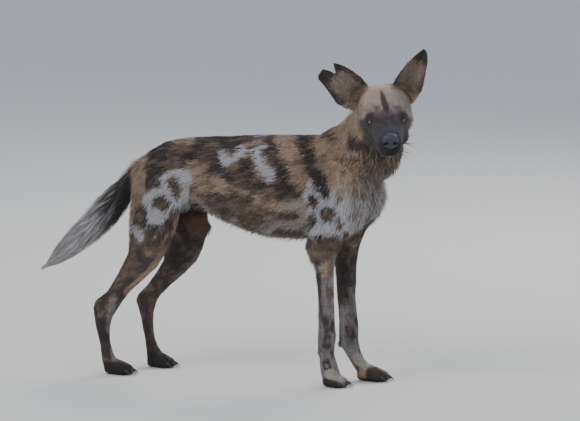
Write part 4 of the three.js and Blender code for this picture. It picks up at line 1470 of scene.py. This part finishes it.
roots, normals, random = scatter(2000, on_ear_inside, 501)
lie = lie_of(roots, normals)
ways = unit(lie + np.cross(normals, lie) * random.normal(0, 0.35, len(roots))[:, None])
pale = ground("sand", len(roots))
pale = lay(pale, COLOURS["grey"], random.uniform(0.0, 0.8, len(roots)))
pale = lay(pale, COLOURS["brown"], (random.random(len(roots)) > 0.6) * 0.7)
ear_hair = wisps("ear_hair", roots, normals, ways, 22, 0.9, 12, pale * 0.95, 502, steps=4)


print(len(roots), "wisps in the ears")

# %% Cheeks and belly
def on_cheek(points, normals):
    spot = to_head(points)
    back, front = ramp(spot[:, 0], -24, 0), 1 - ramp(spot[:, 0], 48, 70)
    return (back * front * (np.abs(spot[:, 1]) > 42) * ramp(-spot[:, 2], -6, 20)
            * (points[:, 2] > HEAD_LOW))


roots, normals, _ = scatter(1500, on_cheek, 503)
ways = unit(lie_of(roots, normals) + HEAD_AXES @ np.array([0.1, 0, -0.5]))
cheek_colour = paint(roots, normals) * 1.06
cheek_hair = wisps("cheek_hair", roots, normals, ways, 24, 1.7, 26, cheek_colour, 504)


def on_belly_edge(points, normals):
    x, y, z = points.T
    under = ramp(-normals[:, 2], 0.3, 0.7) * (x > -190) * (x < 190) * (z > 380) * (z < 470)
    hang = (np.abs(x + 128) < 60) * (np.abs(y) < 34) * (z > 360) * (z < 470) * 4
    elbow = (x > 190) * (x < 250) * (z > 300) * (z < 400) * ramp(-normals[:, 0], 0.4, 0.8) * 1.5
    breech = (x < -262) * (z > 330) * (z < 520) * ramp(-normals[:, 0], 0.4, 0.8) * 1.6
    return under + hang + elbow + breech


roots, normals, _ = scatter(2600, on_belly_edge, 505)
ways = unit(lie_of(roots, normals) + np.array([0.1, 0, -0.9]))
belly_hair = wisps("belly_hair", roots, normals, ways, 20, 1.5, 18, paint(roots, normals), 506)
print("fringes grown")

# %% [markdown]
# ## Materials for coat and skin
# One node group gives the fine streaks that every haired finish needs: it darkens and lightens the
# painted colour along thin strands and puts out a height for the bump. The skin under the tufts
# uses it more strongly, because there it must stand for all hairs that are too fine to model.

# %% Helpers for nodes
def group_socket(tree, name, way, kind, value=None):
    socket = tree.interface.new_socket(name=name, in_out=way, socket_type=kind)
    if value is not None:
        socket.default_value = value


def add_node(tree, kind, settings=None, **properties):
    """A shader node with its inputs and its properties set."""
    node = tree.nodes.new(kind)
    for key, value in properties.items():
        setattr(node, key, value)
    for key, value in (settings or {}).items():
        node.inputs[key].default_value = value
    return node


def wire(tree, rows):
    """Link outputs to inputs, one link for each row of node, output, node and input."""
    for source, out, target, into in rows:
        tree.links.new(source.outputs[out], target.inputs[into])


def new_finish(name, settings):
    """A material with its node tree and its main shader's inputs set."""
    finish = bpy.data.materials.new(name)
    finish.use_nodes = True
    shader = finish.node_tree.nodes["Principled BSDF"]
    for key, value in settings.items():
        shader.inputs[key].default_value = value
    return finish, finish.node_tree, shader


print("node helpers ready")

# %% Strand group
strands = bpy.data.node_groups.new("strands", "ShaderNodeTree")
group_socket(strands, "Colour", "INPUT", "NodeSocketColor", (0.5, 0.5, 0.5, 1))
group_socket(strands, "Contrast", "INPUT", "NodeSocketFloat", 0.3)
group_socket(strands, "Fineness", "INPUT", "NodeSocketFloat", 500.0)
group_socket(strands, "Colour", "OUTPUT", "NodeSocketColor")
group_socket(strands, "Height", "OUTPUT", "NodeSocketFloat")
entry = add_node(strands, "NodeGroupInput")
leave = add_node(strands, "NodeGroupOutput")
where = add_node(strands, "ShaderNodeTexCoord")
stretch = add_node(strands, "ShaderNodeMapping", {"Scale": (0.35, 1.0, 0.45)})
grain = add_node(strands, "ShaderNodeTexNoise", {"Detail": 3.0, "Roughness": 0.65})
spread = add_node(strands, "ShaderNodeMapRange", {
    "From Min": 0.3, "From Max": 0.7, "To Min": -1.0, "To Max": 1.0,
})
scaled = add_node(strands, "ShaderNodeMath", operation="MULTIPLY")
tone = add_node(strands, "ShaderNodeMath", {1: 1.0}, operation="ADD")
shaded = add_node(strands, "ShaderNodeVectorMath", operation="SCALE")
wire(strands, [
    (where, "Object", stretch, "Vector"),
    (stretch, "Vector", grain, "Vector"),
    (entry, "Fineness", grain, "Scale"),
    (grain, "Fac", spread, "Value"),
    (spread, "Result", scaled, 0),
    (entry, "Contrast", scaled, 1),
    (scaled, "Value", tone, 0),
    (entry, "Colour", shaded, 0),
    (tone, "Value", shaded, "Scale"),
    (shaded, "Vector", leave, "Colour"),
    (spread, "Result", leave, "Height"),
])
print("strand group made")

# %% Coat finishes
def coat_finish(name, contrast, fineness, bump, roughness, sheen):
    """A finish that shows the painted colours with fine strands."""
    finish, tree, shader = new_finish(name, {
        "Roughness": roughness,
        "Sheen Weight": sheen,
        "Sheen Roughness": 0.45,
        "Specular IOR Level": 0.28,
    })
    painted = add_node(tree, "ShaderNodeAttribute", attribute_name="coat")
    streaks = add_node(
        tree, "ShaderNodeGroup", {"Contrast": contrast, "Fineness": fineness}, node_tree=strands
    )
    relief = add_node(tree, "ShaderNodeBump", {"Strength": bump, "Distance": 0.8 * MM})
    wire(tree, [
        (painted, "Color", streaks, "Colour"),
        (streaks, "Colour", shader, "Base Color"),
        (streaks, "Height", relief, "Height"),
        (relief, "Normal", shader, "Normal"),
    ])
    return finish


skin_finish = coat_finish("haired_skin", 0.30, 420.0, 0.7, 0.8, 0.1)
coat_short = coat_finish("short_coat", 0.16, 700.0, 0.25, 0.62, 0.12)
coat_long = coat_finish("long_hair", 0.14, 500.0, 0.2, 0.55, 0.15)
skin.data.materials.clear()
skin.data.materials.append(skin_finish)
for piece in coats:
    piece.data.materials.append(coat_short)
for piece in (tail_locks, ruff_locks, ear_hair, cheek_hair, belly_hair):
    piece.data.materials.append(coat_long)
print("coat finishes made")

# %% [markdown]
# ## Eyes
# An eye is a ball with a clear bulging front: a smooth sphere at the carved eye's place, with the
# front pushed out a little. The iris is amber with a round pupil, drawn by the distance
# from the line of sight.

# %% Eyeballs
GAZE_OUTWARD = 9
IRIS = 7.4
PUPIL = 2.9
# How far the white goes on outside the iris, and how far the fibres bend its rings.
IRIS_EDGE = 1.6
FIBRE = 0.8
AMBER = {"right": linear(168, 94, 34), "left": linear(176, 128, 40)}
PUPIL_BLACK = (0.004, 0.003, 0.003)
# The clear front stands out by so much, within so many degrees of the line of sight.
BULGE, BULGE_ANGLE = 0.9, 48


def turn_out(hand, angle):
    """A direction in the head's frame, turned outward from straight ahead."""
    return np.array([math.cos(math.radians(angle)), hand * math.sin(math.radians(angle)), 0.0])


def make_eye(side, hand):
    middle = world(from_head(EYE * [1, hand, 1]))
    gaze = HEAD_AXES @ turn_out(hand, GAZE_OUTWARD)
    bpy.ops.object.select_all(action="DESELECT")
    bpy.ops.mesh.primitive_uv_sphere_add(
        segments=48, ring_count=32, radius=EYE_RADIUS * MM, location=middle.tolist()
    )
    eye = bpy.context.object
    eye.name = f"eyeball_{side}"
    bpy.ops.object.transform_apply(location=True, rotation=True, scale=True)
    place, _, _ = arrays(eye.data)
    away = unit(place - middle)
    bulge = ramp(away @ gaze, math.cos(math.radians(BULGE_ANGLE)), 1.0) * BULGE * MM
    set_places(eye.data, place + away * bulge[:, None])
    bpy.ops.object.shade_smooth()
    finish, tree, shader = new_finish(f"iris_{side}", {
        "Roughness": 0.28, "Coat Weight": 1.0, "Coat Roughness": 0.03,
    })
    full = IRIS + IRIS_EDGE
    where = add_node(tree, "ShaderNodeTexCoord")
    offset = add_node(tree, "ShaderNodeVectorMath", {1: middle.tolist()}, operation="SUBTRACT")
    crossing = add_node(tree, "ShaderNodeVectorMath", {1: gaze.tolist()}, operation="CROSS_PRODUCT")
    reach = add_node(tree, "ShaderNodeVectorMath", operation="LENGTH")
    fibres = add_node(tree, "ShaderNodeTexNoise", {"Scale": 900.0, "Detail": 2.0})
    wander = add_node(tree, "ShaderNodeMath", {1: 2 * FIBRE * MM}, operation="MULTIPLY_ADD")
    share = add_node(tree, "ShaderNodeMapRange", {
        "From Min": FIBRE * MM, "From Max": full * MM + FIBRE * MM,
    })
    rings = add_node(tree, "ShaderNodeValToRGB")
    stops = rings.color_ramp.elements
    amber = AMBER[side]
    stops[0].position = 0.0
    stops[0].color = (*PUPIL_BLACK, 1)
    stops[1].position = 1.0
    stops[1].color = (*linear(70, 52, 44), 1)
    for spot, colour in [
        (PUPIL / full, PUPIL_BLACK),
        ((PUPIL + 0.5) / full, tuple(amber * 0.55)),
        ((PUPIL + 2.0) / full, tuple(amber)),
        ((IRIS - 0.9) / full, tuple(amber * 0.5)),
        (IRIS / full, (0.012, 0.008, 0.007)),
    ]:
        stop = stops.new(spot)
        stop.color = (*[float(v) for v in colour], 1)
    wire(tree, [
        (where, "Object", offset, 0),
        (offset, "Vector", crossing, 0),
        (crossing, "Vector", reach, 0),
        (where, "Object", fibres, "Vector"),
        (fibres, "Fac", wander, 0),
        (reach, "Value", wander, 2),
        (wander, "Value", share, "Value"),
        (share, "Result", rings, "Fac"),
        (rings, "Color", shader, "Base Color"),
    ])
    eye.data.materials.append(finish)
    return eye


eyeballs = {side: make_eye(side, hand) for side, hand in (("left", 1), ("right", -1))}
print("eyes made")

# %% [markdown]
# The rims of the lids are thin closed tubes. Each follows an almond of two bows, laid on a shell
# just outside the eyeball, and is thicker along the upper lid.

# %% Rims of the lids
LID_OUTWARD = 27
LID_SLANT = 8
OPENING = (12.4, 5.6, 5.2)
RIM = 1.5


def rim_path(hand, count=40):
    half, rise, drop = OPENING
    points = []
    for i in range(count):
        share = (i / count * 2) % 1
        lower = i < count / 2
        start = -half if lower else half
        bow = -2 * drop if lower else 2 * rise
        a = start * (1 - share) ** 2 + -start * share**2
        b = bow * 2 * share * (1 - share)
        points.append((a, b))
    flat = np.array(points)
    slant = math.radians(LID_SLANT) * hand
    cosine, sine = math.cos(slant), math.sin(slant)
    turned = flat @ np.array([[cosine, sine], [-sine, cosine]])
    shell = EYE_RADIUS + 1.5
    depth = np.sqrt(np.maximum(shell**2 - (turned**2).sum(1), 9))
    local = np.stack([depth, turned[:, 0], turned[:, 1]], 1)
    turn = Matrix.Rotation(math.radians(LID_OUTWARD) * hand, 3, "Z")
    return local @ np.array(turn).T + EYE * [1, hand, 1]


print(len(rim_path(1)), "points round an eye")

# %% Tubes of the lids
def ring_tube(name, path, radius, sides=8):
    """A closed tube along a closed path in the head's frame."""
    count = len(path)
    ahead = unit(np.roll(path, -1, 0) - np.roll(path, 1, 0))
    out = unit(path - path.mean(0))
    over = unit(np.cross(ahead, out))
    out = np.cross(over, ahead)
    verts, faces = [], []
    for s in range(sides):
        angle = 2 * math.pi * s / sides
        verts.append(path + (out * math.cos(angle) + over * math.sin(angle)) * radius[:, None])
    verts = np.stack(verts, 1).reshape(-1, 3)
    for i in range(count):
        for s in range(sides):
            a, b = i * sides + s, i * sides + (s + 1) % sides
            c, d = (i + 1) % count * sides + (s + 1) % sides, (i + 1) % count * sides + s
            faces.append((a, b, c, d))
    mesh = bpy.data.meshes.new(name)
    mesh.from_pydata(world(from_head(verts)).tolist(), [], faces)
    mesh.update()
    piece = add_object(name, mesh)
    select_only(piece)
    bpy.ops.object.mode_set(mode="EDIT")
    bpy.ops.mesh.select_all(action="SELECT")
    bpy.ops.mesh.normals_make_consistent(inside=False)
    bpy.ops.object.mode_set(mode="OBJECT")
    bpy.ops.object.shade_smooth()
    return piece


rims = {}
for side, hand in (("left", 1), ("right", -1)):
    path = rim_path(hand)
    upper = ramp(path[:, 2] - path[:, 2].mean(), 0, 5)
    rims[side] = ring_tube(f"lid_rim_{side}", path, RIM * (1 + 0.7 * upper))
print("lids rimmed")

# %% [markdown]
# ## Nose and claws
# The nose pad is bare, damp and pebbled. Its carved form is copied, rounded by a fine remesh and
# given a pebbled finish. The claws keep their carved shape and get a horn finish.

# %% Nose pad
NOSE_VOXEL = 0.8 * MM
nose = node_copy("nose")
nose.name = "nose_pad"
apply_modifier(nose, "REMESH", mode="VOXEL", voxel_size=NOSE_VOXEL)
apply_modifier(nose, "SMOOTH", factor=0.6, iterations=8)
select_only(nose)
bpy.ops.object.shade_smooth()


def skin_like(name, colour, second, scale, bump, roughness, coat):
    """A bare finish with a cellular relief and two tones."""
    finish, tree, shader = new_finish(name, {"Coat Weight": coat, "Coat Roughness": 0.25})
    where = add_node(tree, "ShaderNodeTexCoord")
    cells = add_node(tree, "ShaderNodeTexVoronoi", {"Scale": scale})
    cloud = add_node(tree, "ShaderNodeTexNoise", {"Scale": scale * 0.12, "Detail": 4.0})
    mix = add_node(tree, "ShaderNodeMix", data_type="RGBA")
    mix.inputs["A"].default_value = (*colour, 1)
    mix.inputs["B"].default_value = (*second, 1)
    rough = add_node(tree, "ShaderNodeMapRange", {
        "To Min": roughness - 0.1, "To Max": roughness + 0.14,
    })
    relief = add_node(
        tree, "ShaderNodeBump", {"Strength": bump, "Distance": 0.6 * MM}, invert=True
    )
    wire(tree, [
        (where, "Object", cells, "Vector"),
        (where, "Object", cloud, "Vector"),
        (cloud, "Fac", mix, "Factor"),
        (mix, "Result", shader, "Base Color"),
        (cloud, "Fac", rough, "Value"),
        (rough, "Result", shader, "Roughness"),
        (cells, "Distance", relief, "Height"),
        (relief, "Normal", shader, "Normal"),
    ])
    return finish


nose_finish = skin_like(
    "nose_leather", linear(15, 15, 24), linear(34, 38, 62), 1100.0, 0.7, 0.36, 0.35
)
rim_finish = skin_like(
    "lid_leather", linear(12, 10, 12), linear(26, 22, 24), 1400.0, 0.4, 0.5, 0.05
)
claw_finish = skin_like(
    "claw_horn", linear(26, 21, 19), linear(70, 59, 51), 300.0, 0.25, 0.4, 0.15
)
nose.data.materials.clear()
nose.data.materials.append(nose_finish)
for rim in rims.values():
    rim.data.materials.append(rim_finish)
for name, node in frame["nodes"].items():
    if name.startswith("claw_"):
        node.data.materials.clear()
        node.data.materials.append(claw_finish)
print("nose, lids and claws finished")

# %% [markdown]
# The whiskers are long thin spikes, scattered over the sides of the upper lip.

# %% Whiskers
def on_lip(points, normals):
    spot = to_head(points)
    x, y, z = spot.T
    return (x > 150) * (x < 200) * (z < -40) * (z > -72) * (np.abs(y) > 18) * 1.0


roots, normals, _ = scatter(44, on_lip, 507)
ways = unit(lie_of(roots, normals) * 0.5 + normals * 0.9 + HEAD_AXES @ np.array([0, 0, -0.25]))
whisker_tone = ground("black", len(roots)) * 0.6
whiskers = wisps("whiskers", roots, normals, ways, 46, 0.8, 4, whisker_tone, 508, steps=5)
whiskers.data.materials.append(coat_long)
print("whiskers", len(roots))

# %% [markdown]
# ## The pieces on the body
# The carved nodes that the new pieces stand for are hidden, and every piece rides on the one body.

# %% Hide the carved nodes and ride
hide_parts(*SKIN_NODES, "neck", "tail_root", "tail_brush")
for side in ("left", "right"):
    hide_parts(f"eye_{side}")
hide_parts("nose")
SLOTS = {
    "coat": [skin, *coats[1:], belly_hair],
    "face": [coats[0], cheek_hair, rims["left"], rims["right"], whiskers],
    "ear": [ear_hair],
    "ruff": [ruff_locks],
    "tail_hair": [tail_locks],
    "eye": list(eyeballs.values()),
    "nose": [nose],
}
for slot, members in SLOTS.items():
    for piece in members:
        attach(piece, "root")
